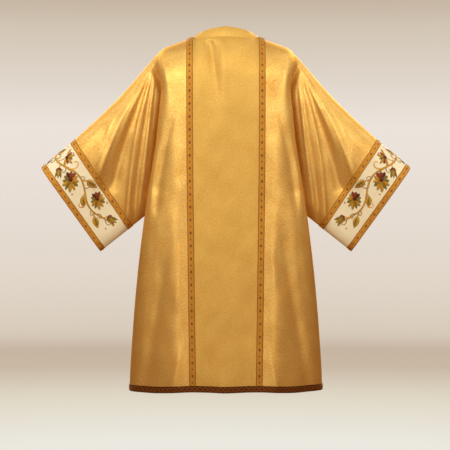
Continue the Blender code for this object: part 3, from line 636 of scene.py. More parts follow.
def creased_sleeve(half, hand, creases):
    """A half sleeve with its creases, which fade at the armhole and the upper and lower edges."""
    shift_x, shift_z = RIGHT_SHIFT if hand > 0 else (0.0, 0.0)
    power = RIGHT_POWER if hand > 0 else 1.0
    x, z = half[..., 0], half[..., 2]
    lift = creases_at(x - shift_x, z - shift_z, creases) * power + ripples_at(hand * x, z)
    from_seam = lengths(half)
    from_upper = lengths(half, axis=1)
    from_edge = np.minimum(from_upper, from_upper[:, -1:] - from_upper)
    lift *= smooth(from_seam / CREASE_FADE) * smooth(from_edge / CREASE_FADE)
    v = ARMHOLE_VALLEY
    far = v.upper_far + (v.lower_far - v.upper_far) * from_upper / from_upper[:, -1:]
    sunk = np.exp(-(((from_seam - far) / v.wide) ** 2)) * smooth(from_seam / far)
    lift -= v.deep * sunk * smooth(from_edge / v.ends)
    stiff_from = BLEND_RINGS + PLAIN_RINGS
    rings = np.arange(len(half))
    stiff = smooth((rings - stiff_from + BRAID_RINGS) / (2 * BRAID_RINGS))
    lift *= (1 - (1 - STIFF_SHARE) * stiff)[:, None]
    creased = half.copy()
    creased[..., 1] += lift
    return creased


def sleeve_grid(hand):
    """Outer points of a sleeve: rings from the armhole to the cuff, columns round it from the
    upper edge over the back and the lower edge to the front."""
    half = half_sleeve()
    back = creased_sleeve(half, hand, SLEEVE_BACK_CREASES) * [hand, -1, 1]
    front = creased_sleeve(half, hand, SLEEVE_FRONT_CREASES) * [hand, 1, 1]
    return np.concatenate([back, front[:, -2:0:-1]], axis=1)


# The neck band

def band_grid(hand, back, front):
    """Half the neck band: rows from the seam to the free edge, columns from the middle of the
    back to the middle of the front. Its seam is the two panels' own top edge."""
    middle = back.shape[1] // 2
    step = 1 if hand > 0 else -1
    behind = back[0, [middle + step * i for i in range(NECK_COLUMNS + 1)]]
    before = front[0, [middle - step * i for i in range(NECK_COLUMNS + 1)]][::-1]
    seam = np.concatenate([behind, before[1:]])
    lean = np.degrees(np.arcsin(neck_shares()))
    angle = np.concatenate([lean, 180 - lean[-2::-1]])
    edge = np.stack([hand * curve(NECK, "angle", "edge_x", angle),
                     curve(NECK, "angle", "edge_y", angle),
                     curve(NECK, "angle", "edge_z", angle)], axis=1)
    outwards = unit(seam * [1, 1, 0]) + [0, 0, 1]
    rows = []
    for t in np.linspace(0, 1, BAND_ROWS + 1):
        rows.append(seam + (edge - seam) * t + outwards * BAND_BULGE / 2 * np.sin(np.pi * t))
    return np.array(rows)


# Cloth as grids of points

class Cloth:
    """A grid of outer points. closed joins the last column to the first, and flip turns the
    faces over."""

    def __init__(self, grid, closed=False, flip=False):
        self.grid = np.array(grid, float)
        self.closed = closed
        self.flip = flip
        self.normals = None

    def wrapped(self, values):
        return np.concatenate([values, values[:, :1]], axis=1) if self.closed else values

    def corner_normals(self):
        """For each cell's four corners, the facing there times the corner's angle."""
        g = self.wrapped(self.grid)
        corners = [g[:-1, :-1], g[1:, :-1], g[1:, 1:], g[:-1, 1:]]
        out = []
        for i in range(4):
            point, after, before = corners[i], corners[(i + 1) % 4], corners[i - 1]
            facing = np.cross(after - point, before - point)
            size = np.linalg.norm(facing, axis=-1)
            angle = np.arctan2(size, np.sum((after - point) * (before - point), axis=-1))
            weight = np.where(size > 0, angle / np.maximum(size, 1e-15), 0)
            out.append(facing * (weight * (-1 if self.flip else 1))[..., None])
        return out

    def flat_places(self):
        """Metres across and down the flat cloth at each grid point, measured from the middle
        column of an open grid and from the first column of a closed one."""
        g = self.wrapped(self.grid)
        across = lengths(g, axis=1)
        if not self.closed:
            across = across - across[:, [g.shape[1] // 2]]
        return np.stack([across, lengths(g, axis=0)], axis=-1)

    def at(self, row, column):
        """Points and normals at places between the grid's lines."""
        rows, columns = self.grid.shape[:2]
        r = np.clip(np.floor(row).astype(int), 0, rows - 2)
        c = np.floor(column).astype(int)
        c = c if self.closed else np.clip(c, 0, columns - 2)
        down, over = (row - r)[..., None], (column - c)[..., None]
        left, right = c % columns, (c + 1) % columns
        mixed = []
        for values in (self.grid, self.normals):
            upper = values[r, left] * (1 - over) + values[r, right] * over
            lower = values[r + 1, left] * (1 - over) + values[r + 1, right] * over
            mixed.append(upper * (1 - down) + lower * down)
        return mixed[0], unit(mixed[1])


def share_normals(cloths):
    """Gives each grid its normals. Points that lie at one place share one normal, to which each
    face adds as much as its corner there is wide, so a seam's normal halves its angle."""
    keys, sums = [], []
    for cloth in cloths:
        rows, columns = cloth.grid.shape[:2]
        total = np.zeros((rows, columns, 3))
        index = cloth.wrapped(np.arange(rows * columns).reshape(rows, columns))
        corners = [index[:-1, :-1], index[1:, :-1], index[1:, 1:], index[:-1, 1:]]
        for corner, facing in zip(corners, cloth.corner_normals()):
            np.add.at(total.reshape(-1, 3), corner.ravel(), facing.reshape(-1, 3))
        keys.append(np.round(cloth.grid.reshape(-1, 3) / 1e-6).astype(np.int64))
        sums.append(total.reshape(-1, 3))
    _, where = np.unique(np.concatenate(keys), axis=0, return_inverse=True)
    where = where.ravel()
    shared = np.zeros((where.max() + 1, 3))
    np.add.at(shared, where, np.concatenate(sums))
    normals = unit(shared[where])
    start = 0
    for cloth in cloths:
        count = cloth.grid.shape[0] * cloth.grid.shape[1]
        cloth.normals = normals[start : start + count].reshape(cloth.grid.shape)
        start += count


class Ribbon:
    """A strip on a cloth between two lines of places on its grid. A place on the strip is metres
    along it and a share across it, from -1 at the first line to 1 at the second."""

    def __init__(self, cloth, first, second, closed=False):
        self.cloth = cloth
        self.first = np.array(first, float)
        self.second = np.array(second, float)
        self.closed = closed
        one, _ = cloth.at(*self.first.T)
        two, _ = cloth.at(*self.second.T)
        self.run = lengths((one + two) / 2)
        self.length = self.run[-1]
        self.width = float(np.mean(np.linalg.norm(one - two, axis=1)))

    def place(self, along, across, lift=0.0):
        """Points and normals this far above the cloth."""
        along, across, lift = np.broadcast_arrays(along, across, lift)
        along = along % self.length if self.closed else along
        share = ((across + 1) / 2)[..., None]
        one = np.stack([np.interp(along, self.run, self.first[:, k]) for k in (0, 1)], axis=-1)
        two = np.stack([np.interp(along, self.run, self.second[:, k]) for k in (0, 1)], axis=-1)
        place = one + (two - one) * share
        points, normals = self.cloth.at(place[..., 0], place[..., 1])
        return points + normals * lift[..., None], normals


# Meshes

class Parts:
    """Points and faces gathered for one mesh, with places on the flat cloth and a material slot
    for each face."""

    def __init__(self):
        self.points = []
        self.blocks = []
        self.count = 0

    def add(self, faces, places, slot=0):
        """faces hold numbers of these points, and places the flat place of each corner."""
        faces = np.asarray(faces)
        slots = np.broadcast_to(slot, (len(faces),))
        self.blocks.append((faces + self.count, np.asarray(places, float), slots))

    def add_points(self, points):
        points = np.asarray(points, float).reshape(-1, 3)
        self.points.append(points)
        self.count += len(points)

    def piece(self, name, materials):
        """One object from all that was gathered."""
        points = np.concatenate(self.points)
        corners = np.concatenate([faces.ravel() for faces, _, _ in self.blocks])
        sizes = np.concatenate([np.full(len(f), f.shape[1]) for f, _, _ in self.blocks])
        starts = np.concatenate([[0], np.cumsum(sizes)[:-1]])
        places = np.concatenate([p.reshape(-1, 2) for _, p, _ in self.blocks])
        slots = np.concatenate([s for _, _, s in self.blocks])
        mesh = bpy.data.meshes.new(name)
        mesh.vertices.add(len(points))
        mesh.vertices.foreach_set("co", points.astype(np.float32).ravel())
        mesh.loops.add(len(corners))
        mesh.loops.foreach_set("vertex_index", corners.astype(np.int32))
        mesh.polygons.add(len(sizes))
        mesh.polygons.foreach_set("loop_start", starts.astype(np.int32))
        mesh.polygons.foreach_set("material_index", slots.astype(np.int32))
        layer = mesh.uv_layers.new(name="flat_cloth")
        layer.data.foreach_set("uv", places.astype(np.float32).ravel())
        mesh.update(calc_edges=True)
        for material in materials:
            mesh.materials.append(material)
        mesh.shade_smooth()
        mesh.set_sharp_from_angle(angle=np.radians(SHARP_EDGE))
        obj = bpy.data.objects.new(name, mesh)
        bpy.context.scene.collection.objects.link(obj)
        return obj


def cell_corners(values, flip=False):
    """The four corners of each cell of a grid of values."""
    corners = [values[:-1, :-1], values[1:, :-1], values[1:, 1:], values[:-1, 1:]]
    stacked = np.stack(corners[::-1] if flip else corners, axis=2)
    return stacked.reshape(-1, 4, *values.shape[2:])


def add_shell(parts, high, low, places, closed, flip, slots=0, under=None):
    """A thin closed wall between two grids of points. slots may be a grid with one per cell, and
    under is the slot of the far side, where that isn't the same."""
    rows, columns = high.shape[:2]
    count = rows * columns
    index = np.arange(count).reshape(rows, columns)
    if closed:
        index = np.concatenate([index, index[:, :1]], axis=1)
    slots = np.broadcast_to(slots, (index.shape[0] - 1, index.shape[1] - 1)).ravel()
    parts.add(cell_corners(index, flip), cell_corners(places, flip), slots)
    low_slots = slots if under is None else np.full(slots.shape, under)
    parts.add(cell_corners(index + count, not flip), cell_corners(places, not flip), low_slots)
    edges = [(index[0], places[0], False), (index[-1], places[-1], True)]
    if not closed:
        edges += [(index[:, 0], places[:, 0], True), (index[:, -1], places[:, -1], False)]
    for line, flat, turned in edges:
        quads = np.stack([line[:-1], line[1:], line[1:] + count, line[:-1] + count], axis=1)
        flats = np.stack([flat[:-1], flat[1:], flat[1:], flat[:-1]], axis=1)
        if turned != flip:
            quads, flats = quads[:, ::-1], flats[:, ::-1]
        parts.add(quads, flats, slots[0])
    parts.add_points(np.concatenate([high.reshape(-1, 3), low.reshape(-1, 3)]))


def add_cord(parts, points, normals, radius, slot, closed=False, sides=CORD_SIDES):
    """A round cord along points of a surface, whose normals keep it from twisting."""
    if closed:
        tangent = np.roll(points, -1, axis=0) - np.roll(points, 1, axis=0)
    else:
        tangent = np.gradient(points, axis=0)
    side = unit(np.cross(unit(tangent), normals))
    up = unit(np.cross(side, unit(tangent)))
    turn = np.linspace(0, 2 * np.pi, sides, endpoint=False)
    radius = np.broadcast_to(radius, (len(points),))[:, None, None]
    ring = np.cos(turn)[None, :, None] * side[:, None] + np.sin(turn)[None, :, None] * up[:, None]
    rings = points[:, None] + ring * radius
    index = np.arange(len(points) * sides).reshape(len(points), sides)
    index = np.concatenate([index, index[:, :1]], axis=1)
    run = lengths(points)
    if closed:
        index = np.concatenate([index, index[:1]])
        run = np.concatenate([run, [run[-1] + np.linalg.norm(points[0] - points[-1])]])
    round_it = np.linspace(0, 1, sides + 1) * 2 * np.pi * float(np.mean(radius))
    flat = np.stack(np.meshgrid(round_it, run), axis=-1)
    parts.add(cell_corners(index, flip=True), cell_corners(flat, flip=True), slot)
    if not closed:
        caps = np.stack([index[0, :-1], index[-1, :-1][::-1]])
        parts.add(caps, np.zeros((2, sides, 2)), slot)
    parts.add_points(rings)


def add_stitches(parts, points, normals, slot):
    """Small raised stitches along a line: each fills one step between two points, and skips the
    next. A stitch is pointed at both ends and four-sided."""
    start, end = points[0:-1:2], points[1::2]
    start = start[: len(end)]
    normal = normals[0:-1:2][: len(end)]
    side = unit(np.cross(end - start, normal)) * STITCH_WIDTH / 2
    middle = (start + end) / 2
    rise = normal * STITCH_HEIGHT
    corners = [start, end, middle + side, middle + rise, middle - side, middle - rise / 2]
    ring = (2, 3, 4, 5)
    faces = [(0, ring[(i + 1) % 4], ring[i]) for i in range(4)]
    faces += [(1, ring[i], ring[(i + 1) % 4]) for i in range(4)]
    faces = np.array(faces)[None] + 6 * np.arange(len(start))[:, None, None]
    parts.add(faces.reshape(-1, 3), np.zeros((faces.size // 3, 3, 2)), slot)
    parts.add_points(np.stack(corners, axis=1))


def stitch_ends(length):
    """Where stitches and the steps between them end along a line of this length."""
    return np.linspace(0, length, int(length / STITCH_STEP) // 2 * 2 + 1)


def stitch_row(parts, cloth, row, slot):
    """Stitches along one row of an open grid."""
    at = np.linspace(0, cloth.grid.shape[1] - 1, LINE_SAMPLES)
    run = lengths(cloth.at(np.full(LINE_SAMPLES, row), at)[0])
    ends = stitch_ends(run[-1])
    at = np.interp(ends, run, at)
    add_stitches(parts, *cloth.at(np.full(len(ends), row), at), slot)


# Raised work on a surface: outlines are given flat, in metres, and a place function lays them on

def add_pad(parts, place, outline, edge_lift, height, slot, thread_turn=0.0, rings=3):
    """A domed patch of satin stitch inside a closed outline, its threads at this angle."""
    centre = outline.mean(axis=0)
    turns = np.linspace(0, np.pi / 2, rings + 1)[:-1]
    flat = centre + (outline - centre)[None] * np.cos(turns)[:, None, None]
    lifts = np.repeat((edge_lift + height * np.sin(turns))[:, None], len(outline), axis=1)
    flat = np.concatenate([flat.reshape(-1, 2), [centre, centre]])
    lifts = np.concatenate([lifts.ravel(), [edge_lift + height, edge_lift]])
    points, normals = place(flat[:, 0], flat[:, 1], lifts)
    count = len(outline)
    index = np.arange(rings * count).reshape(rings, count)
    index = np.concatenate([index, index[:, :1]], axis=1)
    top, bottom = rings * count, rings * count + 1
    quads = cell_corners(index)
    last, first = index[-1], index[0]
    cap = np.stack([last[:-1], np.full(count, top), last[1:]], axis=1)
    base = np.stack([first[1:], np.full(count, bottom), first[:-1]], axis=1)
    a, b, c = points[quads[0][:3]]
    turned = np.dot(np.cross(b - a, c - a), normals[quads[0][0]]) < 0
    cosine, sine = np.cos(thread_turn), np.sin(thread_turn)
    spun = (flat - centre) @ np.array([[cosine, -sine], [sine, cosine]])
    for faces in (quads, cap, base):
        faces = faces[:, ::-1] if turned else faces
        parts.add(faces, spun[faces], slot)
    parts.add_points(points)


def add_line(parts, place, flat, lift, radius, slot, closed=False, sides=CORD_SIDES):
    """A cord laid along a flat line."""
    points, normals = place(flat[:, 0], flat[:, 1], lift)
    add_cord(parts, points, normals, radius, slot, closed, sides)


def leaf_outline(length, width, fullest=0.5, points=9, blunt=1.0):
    """A pointed or blunt leaf along +x from 0: widest at this share of its length."""
    share = (1 - np.cos(np.linspace(0, np.pi, points))) / 2
    power = np.log(0.5) / np.log(fullest)
    half = width / 2 * np.sin(np.pi * share**power) ** blunt
    upper = np.stack([share * length, half], axis=1)
    lower = np.stack([share * length, -half], axis=1)[-2:0:-1]
    return np.concatenate([upper, lower])


def turned_to(flat, origin, angle):
    """Flat points turned by an angle and moved to an origin."""
    cosine, sine = np.cos(angle), np.sin(angle)
    return flat @ np.array([[cosine, sine], [-sine, cosine]]) + np.asarray(origin)


def smooth_line(points, per=8):
    """A smooth line through given points."""
    points = np.asarray(points, float)
    ends = np.concatenate([[2 * points[0] - points[1]], points, [2 * points[-1] - points[-2]]])
    out = []
    for a, b, c, d in zip(ends, ends[1:], ends[2:], ends[3:]):
        for t in np.linspace(0, 1, per, endpoint=False):
            out.append(
                0.5 * (2 * b + (c - a) * t + (2 * a - 5 * b + 4 * c - d) * t**2
                       + (3 * b - a - 3 * c + d) * t**3)
            )
    out.append(points[-1])
    return np.array(out)


def curl(start, heading, length, turns, points=26):
    """A tendril that leaves at a heading and winds up more and more tightly."""
    share = np.linspace(0, 1, points)
    angle = heading + 2 * np.pi * turns * share**2.2
    step = length / (points - 1)
    way = np.stack([np.cos(angle), np.sin(angle)], axis=1) * step
    return np.asarray(start) + np.concatenate([[[0, 0]], np.cumsum(way[:-1], axis=0)])


# Materials

def linear(code):
    """An sRGB hex colour as linear light."""
    parts = [int(code[i : i + 2], 16) / 255 for i in (1, 3, 5)]
    light = [p / 12.92 if p <= 0.04045 else ((p + 0.055) / 1.055) ** 2.4 for p in parts]
    return (*light, 1.0)


def feed(tree, made, inputs):
    """Sets inputs of a node. Each gets a value, or the socket that feeds it."""
    for name, value in inputs.items():
        if isinstance(value, bpy.types.NodeSocket):
            tree.links.new(value, made.inputs[name])
        else:
            made.inputs[name].default_value = value


def node(tree, kind, inputs, **settings):
    """Adds a node with its settings and inputs."""
    made = tree.nodes.new(kind)
    for name, value in settings.items():
        setattr(made, name, value)
    feed(tree, made, inputs)
    return made


def new_material(name):
    """A material with its nodes, its shader and the flat cloth's places."""
    material = bpy.data.materials.new(name)
    material.use_nodes = True
    tree = material.node_tree
    flat = node(tree, "ShaderNodeUVMap", {}, uv_map="flat_cloth").outputs["UV"]
    return material, tree, tree.nodes["Principled BSDF"], flat


# Blender's band texture repeats every 2 pi / 20 units at scale 1.
BAND_UNIT = 2 * np.pi / 20


def raised_threads(tree, flat, apart, uneven, strength, height, way="Y"):
    """Threads this far apart across one way of the cloth: how bright each place of them is, and
    the normal of their relief."""
    threads = node(tree, "ShaderNodeTexWave", {
        "Vector": flat, "Scale": BAND_UNIT / apart, **uneven,
    }, wave_type="BANDS", bands_direction=way).outputs["Fac"]
    bump = node(tree, "ShaderNodeBump", {
        "Height": threads, "Strength": strength, "Distance": height,
    })
    return threads, bump.outputs["Normal"]


ClothFinish = namedtuple("ClothFinish", "figure ground gilt ground_metal gilt_metal rough gloss")
# The middle panels are plainer and duller than the sides and sleeves.
FIGURED = ClothFinish(1.0, "#D08628", "#F4DC8E", 0.45, 0.85, 0.54, 0.42)
PLAIN = ClothFinish(0.60, "#C4842A", "#EACE7E", 0.30, 0.55, 0.60, 0.50)
# Gilt takes over from the ground round this level of the figure, over this spread each way.
GILT_LEVEL = 0.65
GILT_SPREAD = 0.30
# How much slow clouds add to the figure, and the relief of the figure and of the cross threads
CLOUD_SHARE = 0.30
FIGURE_RELIEF = 0.45
WEFT_RELIEF = 0.3


def gold_brocade(name, finish):
    """Brocade of gilt thread over a silk ground, woven: pale gilt threads glint where the light
    falls on them, the orange silk between them stays dull, and a small leafy figure, in which
    more gilt shows, sparkles in the folds."""
    material, tree, shader, flat = new_material(name)
    thread = 2.2 * MM  # real threads lie 0.3 mm apart, drawn coarser so that they show
    leaf = 4.2 * MM
    cloud = 60 * MM
    spread = GILT_SPREAD / finish.figure
    figure = node(tree, "ShaderNodeTexNoise", {
        "Vector": flat, "Scale": 1 / leaf, "Detail": 4.0, "Roughness": 0.6, "Distortion": 0.5,
    })
    patch = node(tree, "ShaderNodeTexNoise", {"Vector": flat, "Scale": 1 / cloud, "Detail": 2.0})
    weft = node(tree, "ShaderNodeTexWave", {
        "Vector": flat, "Scale": BAND_UNIT / thread, "Distortion": 1.2, "Detail": 1.0,
    }, wave_type="BANDS", bands_direction="Y")
    level = node(tree, "ShaderNodeMath", {
        0: patch.outputs["Fac"], 1: CLOUD_SHARE, 2: figure.outputs["Fac"],
    }, operation="MULTIPLY_ADD")
    gilt = node(tree, "ShaderNodeMapRange", {
        "Value": level.outputs["Value"],
        "From Min": GILT_LEVEL - spread, "From Max": GILT_LEVEL + spread,
    }).outputs["Result"]
    colour = node(tree, "ShaderNodeMix", {
        "Factor": gilt, "A": linear(finish.ground), "B": linear(finish.gilt),
    }, data_type="RGBA")
    metal = node(tree, "ShaderNodeMapRange", {
        "Value": gilt, "To Min": finish.ground_metal, "To Max": finish.gilt_metal,
    })
    gloss = node(tree, "ShaderNodeMapRange", {
        "Value": gilt, "To Min": finish.rough, "To Max": finish.gloss,
    })
    relief = node(tree, "ShaderNodeMath", {
        0: gilt, 1: FIGURE_RELIEF * finish.figure,
    }, operation="MULTIPLY")
    woven = node(tree, "ShaderNodeMath", {
        0: weft.outputs["Fac"], 1: WEFT_RELIEF, 2: relief.outputs["Value"],
    }, operation="MULTIPLY_ADD")
    bump = node(tree, "ShaderNodeBump", {
        "Height": woven.outputs["Value"], "Strength": 0.4, "Distance": 0.4 * MM,
    })
    feed(tree, shader, {
        "Base Color": colour.outputs["Result"],
        "Metallic": metal.outputs["Result"],
        "Roughness": gloss.outputs["Result"],
        "Normal": bump.outputs["Normal"],
        "Specular IOR Level": 0.25,
        "Specular Tint": linear("#F0B860"),
        "Sheen Weight": 0.05,
        "Sheen Roughness": 0.5,
        "Sheen Tint": linear("#F0C878"),
    })
    return material


def brocade_back(name):
    """Wrong side of the brocade, woven: plain amber silk with a low gloss and a faint grain."""
    material, tree, shader, flat = new_material(name)
    grain = 1.6 * MM
    _, normal = raised_threads(tree, flat, grain, {"Distortion": 1.0}, 0.25, 0.2 * MM)
    feed(tree, shader, {
        "Base Color": linear("#C08A3C"), "Normal": normal, "Roughness": 0.45, "Sheen Weight": 0.1,
    })
    return material


def braid_ground(name, base, glint):
    """Ribbed galloon of silk and gilt thread: dull and warm, with a fine cross rib, and paler
    specks that are partly the gilt's own flecks and partly painted glints.
    """
    material, tree, shader, flat = new_material(name)
    rib = 1.8 * MM  # real ribs lie 0.6 mm apart, drawn coarser so that they show
    speck = 3.0 * MM
    # Paler glint specks: partly the gilt thread's own flecks, partly painted glints.
    specks = node(tree, "ShaderNodeTexNoise", {"Vector": flat, "Scale": 1 / speck, "Detail": 1.5})
    colour = node(tree, "ShaderNodeMix", {
        "Factor": specks.outputs["Fac"], "A": linear(base), "B": linear(glint),
    }, data_type="RGBA")
    _, normal = raised_threads(tree, flat, rib, {"Distortion": 0.6}, 0.6, 0.3 * MM)
    feed(tree, shader, {
        "Base Color": colour.outputs["Result"], "Normal": normal,
        "Metallic": 0.35, "Roughness": 0.55, "Specular IOR Level": 0.30,
    })
    return material


def twisted_cord(name, colour, shade):
    """Plied cord or satin stitch: slanting strands, the cord's colour on their crowns and painted
    shade in the grooves between them.
    """
    material, tree, shader, flat = new_material(name)
    strand = 1.5 * MM
    strands, normal = raised_threads(
        tree, flat, strand, {"Distortion": 0.5}, 0.5, 0.3 * MM, way="DIAGONAL"
    )
    # Painted shade: the grooves between the strands take the darker shade colour.
    mixed = node(tree, "ShaderNodeMix", {
        "Factor": strands, "A": linear(shade), "B": linear(colour),
    }, data_type="RGBA")
    feed(tree, shader, {
        "Base Color": mixed.outputs["Result"], "Normal": normal,
        "Metallic": 0.5, "Roughness": 0.42, "Specular IOR Level": 0.30,
    })
    return material


def silk_thread(name, colour, shade, gilt=0.0):
    """Floss silk laid in satin stitch: fine parallel threads with a soft gloss along them."""
    material, tree, shader, flat = new_material(name)
    strand = 1.1 * MM  # real strands are 0.3 mm, drawn coarser so that they show
    shading = 4 * MM
    uneven = {"Distortion": 0.8, "Detail": 1.0}
    strands, normal = raised_threads(tree, flat, strand, uneven, 0.45, 0.2 * MM)
    tone = node(tree, "ShaderNodeTexNoise", {"Vector": flat, "Scale": 1 / shading, "Detail": 1.0})
    factor = node(tree, "ShaderNodeMath", {
        0: strands, 1: tone.outputs["Fac"],
    }, operation="MULTIPLY")
    mixed = node(tree, "ShaderNodeMix", {
        "Factor": factor.outputs["Value"], "A": linear(colour), "B": linear(shade),
    }, data_type="RGBA")
    feed(tree, shader, {
        "Base Color": mixed.outputs["Result"], "Normal": normal, "Metallic": gilt,
        "Roughness": 0.50, "Specular IOR Level": 0.35, "Sheen Weight": 0.05,
    })
    return material


def cream_satin(name):
    """Cream silk satin, woven: smooth and pale, with a faint grain and a low, broad gloss."""
    material, tree, shader, flat = new_material(name)
    grain = 1.6 * MM
    cloud = 35 * MM
    uneven = {"Distortion": 1.5, "Detail": 1.0}
    _, normal = raised_threads(tree, flat, grain, uneven, 0.3, 0.2 * MM, way="X")
    tone = node(tree, "ShaderNodeTexNoise", {"Vector": flat, "Scale": 1 / cloud, "Detail": 2.0})
    colour = node(tree, "ShaderNodeMix", {
        "Factor": tone.outputs["Fac"], "A": linear("#EEE2C4"), "B": linear("#FAF2DE"),
    }, data_type="RGBA")
    feed(tree, shader, {
        "Base Color": colour.outputs["Result"], "Normal": normal,
        "Roughness": 0.48, "Sheen Weight": 0.3, "Sheen Roughness": 0.4,
    })
    return material


def studio_paper(name):
    """Matt paper that glows with painted light instead of being lit: near white underfoot, a band
    of painted taupe shade where the floor turns up, pale behind, and painted taupe shade again
    high up. It shows these painted tones whatever the lamps do."""
    material, tree, shader, flat = new_material(name)
    run = node(tree, "ShaderNodeSeparateXYZ", {"Vector": flat}).outputs["Y"]
    share = node(tree, "ShaderNodeMapRange", {"Value": run, "From Max": STUDIO_RUN})
    ramp = node(tree, "ShaderNodeValToRGB", {"Fac": share.outputs["Result"]})
    elements = ramp.color_ramp.elements
    while len(elements) < len(PAPER_PAINTED_LIGHT):
        elements.new(0.5)
    for element, (run_to, colour) in zip(elements, PAPER_PAINTED_LIGHT):
        element.position = run_to / STUDIO_RUN
        element.color = linear(colour)
    # Painted light: the paper's tones glow as emission instead of being lit.
    feed(tree, shader, {
        "Emission Color": ramp.outputs["Color"], "Emission Strength": 1.0,
        "Base Color": linear("#000000"), "Roughness": 1.0, "Specular IOR Level": 0.0,
    })
    return material


# Pieces

def add_braid(parts, ribbon, braid):
    """One woven braid along a ribbon. Slots: 0 ground, 1 crossing cords, 2 dark lozenges, 3 small
    bright knots where the cords cross, 4 edge cords, 5 the stitches that hold it down."""
    steps = int(round(ribbon.length / BRAID_STEP))
    eyes = int(round(ribbon.length / braid.pitch))
    pitch = ribbon.length / eyes
    along = np.linspace(0, ribbon.length, steps + 1)
    if ribbon.closed:
        along = along[:-1]
    across = np.linspace(-1, 1, BRAID_CELLS + 1)
    a, w = np.meshgrid(along, across, indexing="ij")
    high, _ = ribbon.place(a, w, LAY_GAP + braid.ground * (1 - GROUND_CROWN * w**4))
    low, _ = ribbon.place(a, w, LAY_GAP)
    ends = np.append(along, ribbon.length) if ribbon.closed else along
    half_width = ribbon.width / 2
    flat = np.stack(np.meshgrid(across * half_width, ends), axis=-1)
    if ribbon.closed:
        high, low, flat = [np.swapaxes(grid, 0, 1) for grid in (high, low, flat)]
    add_shell(parts, high, low, flat, ribbon.closed, faces_down(high, ribbon, a, w))
    top = LAY_GAP + braid.ground

    def line(across, height, radius, slot):
        points, normals = ribbon.place(along, across, height)
        add_cord(parts, points, normals, radius, slot, ribbon.closed)

    def place(x, y, height):
        return ribbon.place(x, y / half_width, height)

    for edge in (-BRAID_EDGE_AT, BRAID_EDGE_AT):
        line(edge, top, braid.edge_cord, 4)
    turn = np.pi * along / pitch
    for way in (-1, 1):
        over = CROSSING_LIFT * way * np.sign(np.cos(turn)) * np.abs(np.cos(turn)) ** 4
        line(way * braid.swing * np.sin(turn), top + over, braid.cross_cord, 1)
    for edge in (-STITCH_AT, STITCH_AT):
        add_stitches(parts, *ribbon.place(stitch_ends(ribbon.length), edge, top), 5)
    knot = leaf_outline(KNOT_LONG, KNOT_WIDE, points=5, blunt=0.6)
    for i in range(eyes):
        scale = 1.0 if i % 2 else WEAK_LOZENGE
        shape = leaf_outline(braid.lozenge_long * scale, braid.lozenge_wide * scale, points=6)
        shape += ((i + 0.5) * pitch - braid.lozenge_long * scale / 2, 0.0)
        add_pad(parts, place, shape, top - LOZENGE_SUNK, LOZENGE_HEIGHT, 2, rings=2)
        if i:
            at_crossing = knot + (i * pitch - KNOT_LONG / 2, 0)
            add_pad(parts, place, at_crossing, top + CROSSING_LIFT, KNOT_HEIGHT, 3, rings=2)


def faces_down(high, ribbon, along, across):
    """Whether a grid of points faces into its cloth, so that its faces need turning over."""
    first = np.cross(high[1, 0] - high[0, 0], high[0, 1] - high[0, 0])
    _, normal = ribbon.place(along[0, 0], across[0, 0], 0.0)
    return np.dot(first, normal) < 0


def add_cloth(parts, cloth, slots=0, inside=1):
    """A piece of cloth, with the slot of its wrong side."""
    inner = cloth.grid - cloth.normals * CLOTH_WALL
    flat = cloth.flat_places()
    add_shell(parts, cloth.grid, inner, flat, cloth.closed, cloth.flip, slots, inside)


# Embroidery, laid out flat on one face of a band: metres down from its upper fold, and across
# from its cuff braid

STEM_FROM, STEM_TO = 10 * MM, 336 * MM
STEM_MIDDLE, STEM_SWING = 52 * MM, 16 * MM
STEM_WAVE, STEM_START = 200 * MM, 90 * MM
STEM_RADIUS = 2.6 * MM
STALK_RADIUS = 1.7 * MM
OUTLINE_RADIUS = 0.75 * MM
VEIN_RADIUS = 0.5 * MM
THICK_CURL, THIN_CURL = 2.1 * MM, 1.5 * MM
# Heights over the satin: where a pad starts and how far it domes, and where the middles of the
# cords lie
PAD_LIFT = 0.5 * MM
PAD_HEIGHT = 1.3 * MM
OUTLINE_LIFT = 0.7 * MM
RIM_LIFT = 0.8 * MM
STALK_LIFT = 0.9 * MM
STEM_LIFT = 1.2 * MM
VEIN_LIFT = 1.9 * MM
RIB_LIFT = 1.8 * MM
# A stem or curl tapers to this share of its width at its end.
TAPER_TO = 0.65
# Slots of the embroidery's threads
GOLD, BROWN, OLIVE, BRICK, DARK_RED, BERRY, TAN = range(7)

# Each flower has its red petals on one side of its heart and long gold and olive ones on the
# other. A petal's turn is from the flower's own, and its sizes are shares of the flower's.
Flower = namedtuple("Flower", "down across size turn")
FLOWERS = [
    Flower(0.126, 0.038, 0.057, 2.45),
    Flower(0.232, 0.074, 0.051, 2.75),
]
Petal = namedtuple("Petal", "turn length width thread")
FLOWER_PETALS = [
    Petal(1.75, 0.42, 0.17, OLIVE),
    Petal(2.20, 0.52, 0.18, GOLD),
    Petal(2.66, 0.56, 0.17, OLIVE),
    Petal(3.12, 0.64, 0.19, GOLD),
    Petal(-2.70, 0.58, 0.17, GOLD),
    Petal(-2.22, 0.50, 0.18, OLIVE),
    Petal(-1.76, 0.44, 0.17, GOLD),
    Petal(1.14, 0.38, 0.18, OLIVE),
    Petal(0.56, 0.42, 0.19, DARK_RED),
    Petal(0.00, 0.40, 0.19, BRICK),
    Petal(-0.58, 0.43, 0.19, BRICK),
    Petal(-1.16, 0.38, 0.18, GOLD),
]
Sprig = namedtuple("Sprig", "kind down across size turn from_down")
SPRIGS = [
    Sprig("leaf", 0.013, 0.048, 0.038, 1.15, 0.018),
    Sprig("leaf", 0.012, 0.026, 0.026, -1.25, 0.018),
    Sprig("bud", 0.070, 0.030, 0.034, -0.75, 0.060),
    Sprig("blossom", 0.058, 0.068, 0.038, 0.60, 0.046),
    Sprig("leaf", 0.162, 0.080, 0.042, 0.34, 0.150),
    Sprig("leaf", 0.193, 0.040, 0.038, -0.55, 0.184),
    Sprig("leaf", 0.270, 0.032, 0.040, -0.32, 0.256),
    Sprig("bud", 0.298, 0.068, 0.038, 0.35, 0.286),
]
Curl = namedtuple("Curl", "from_down heading length turns radius")
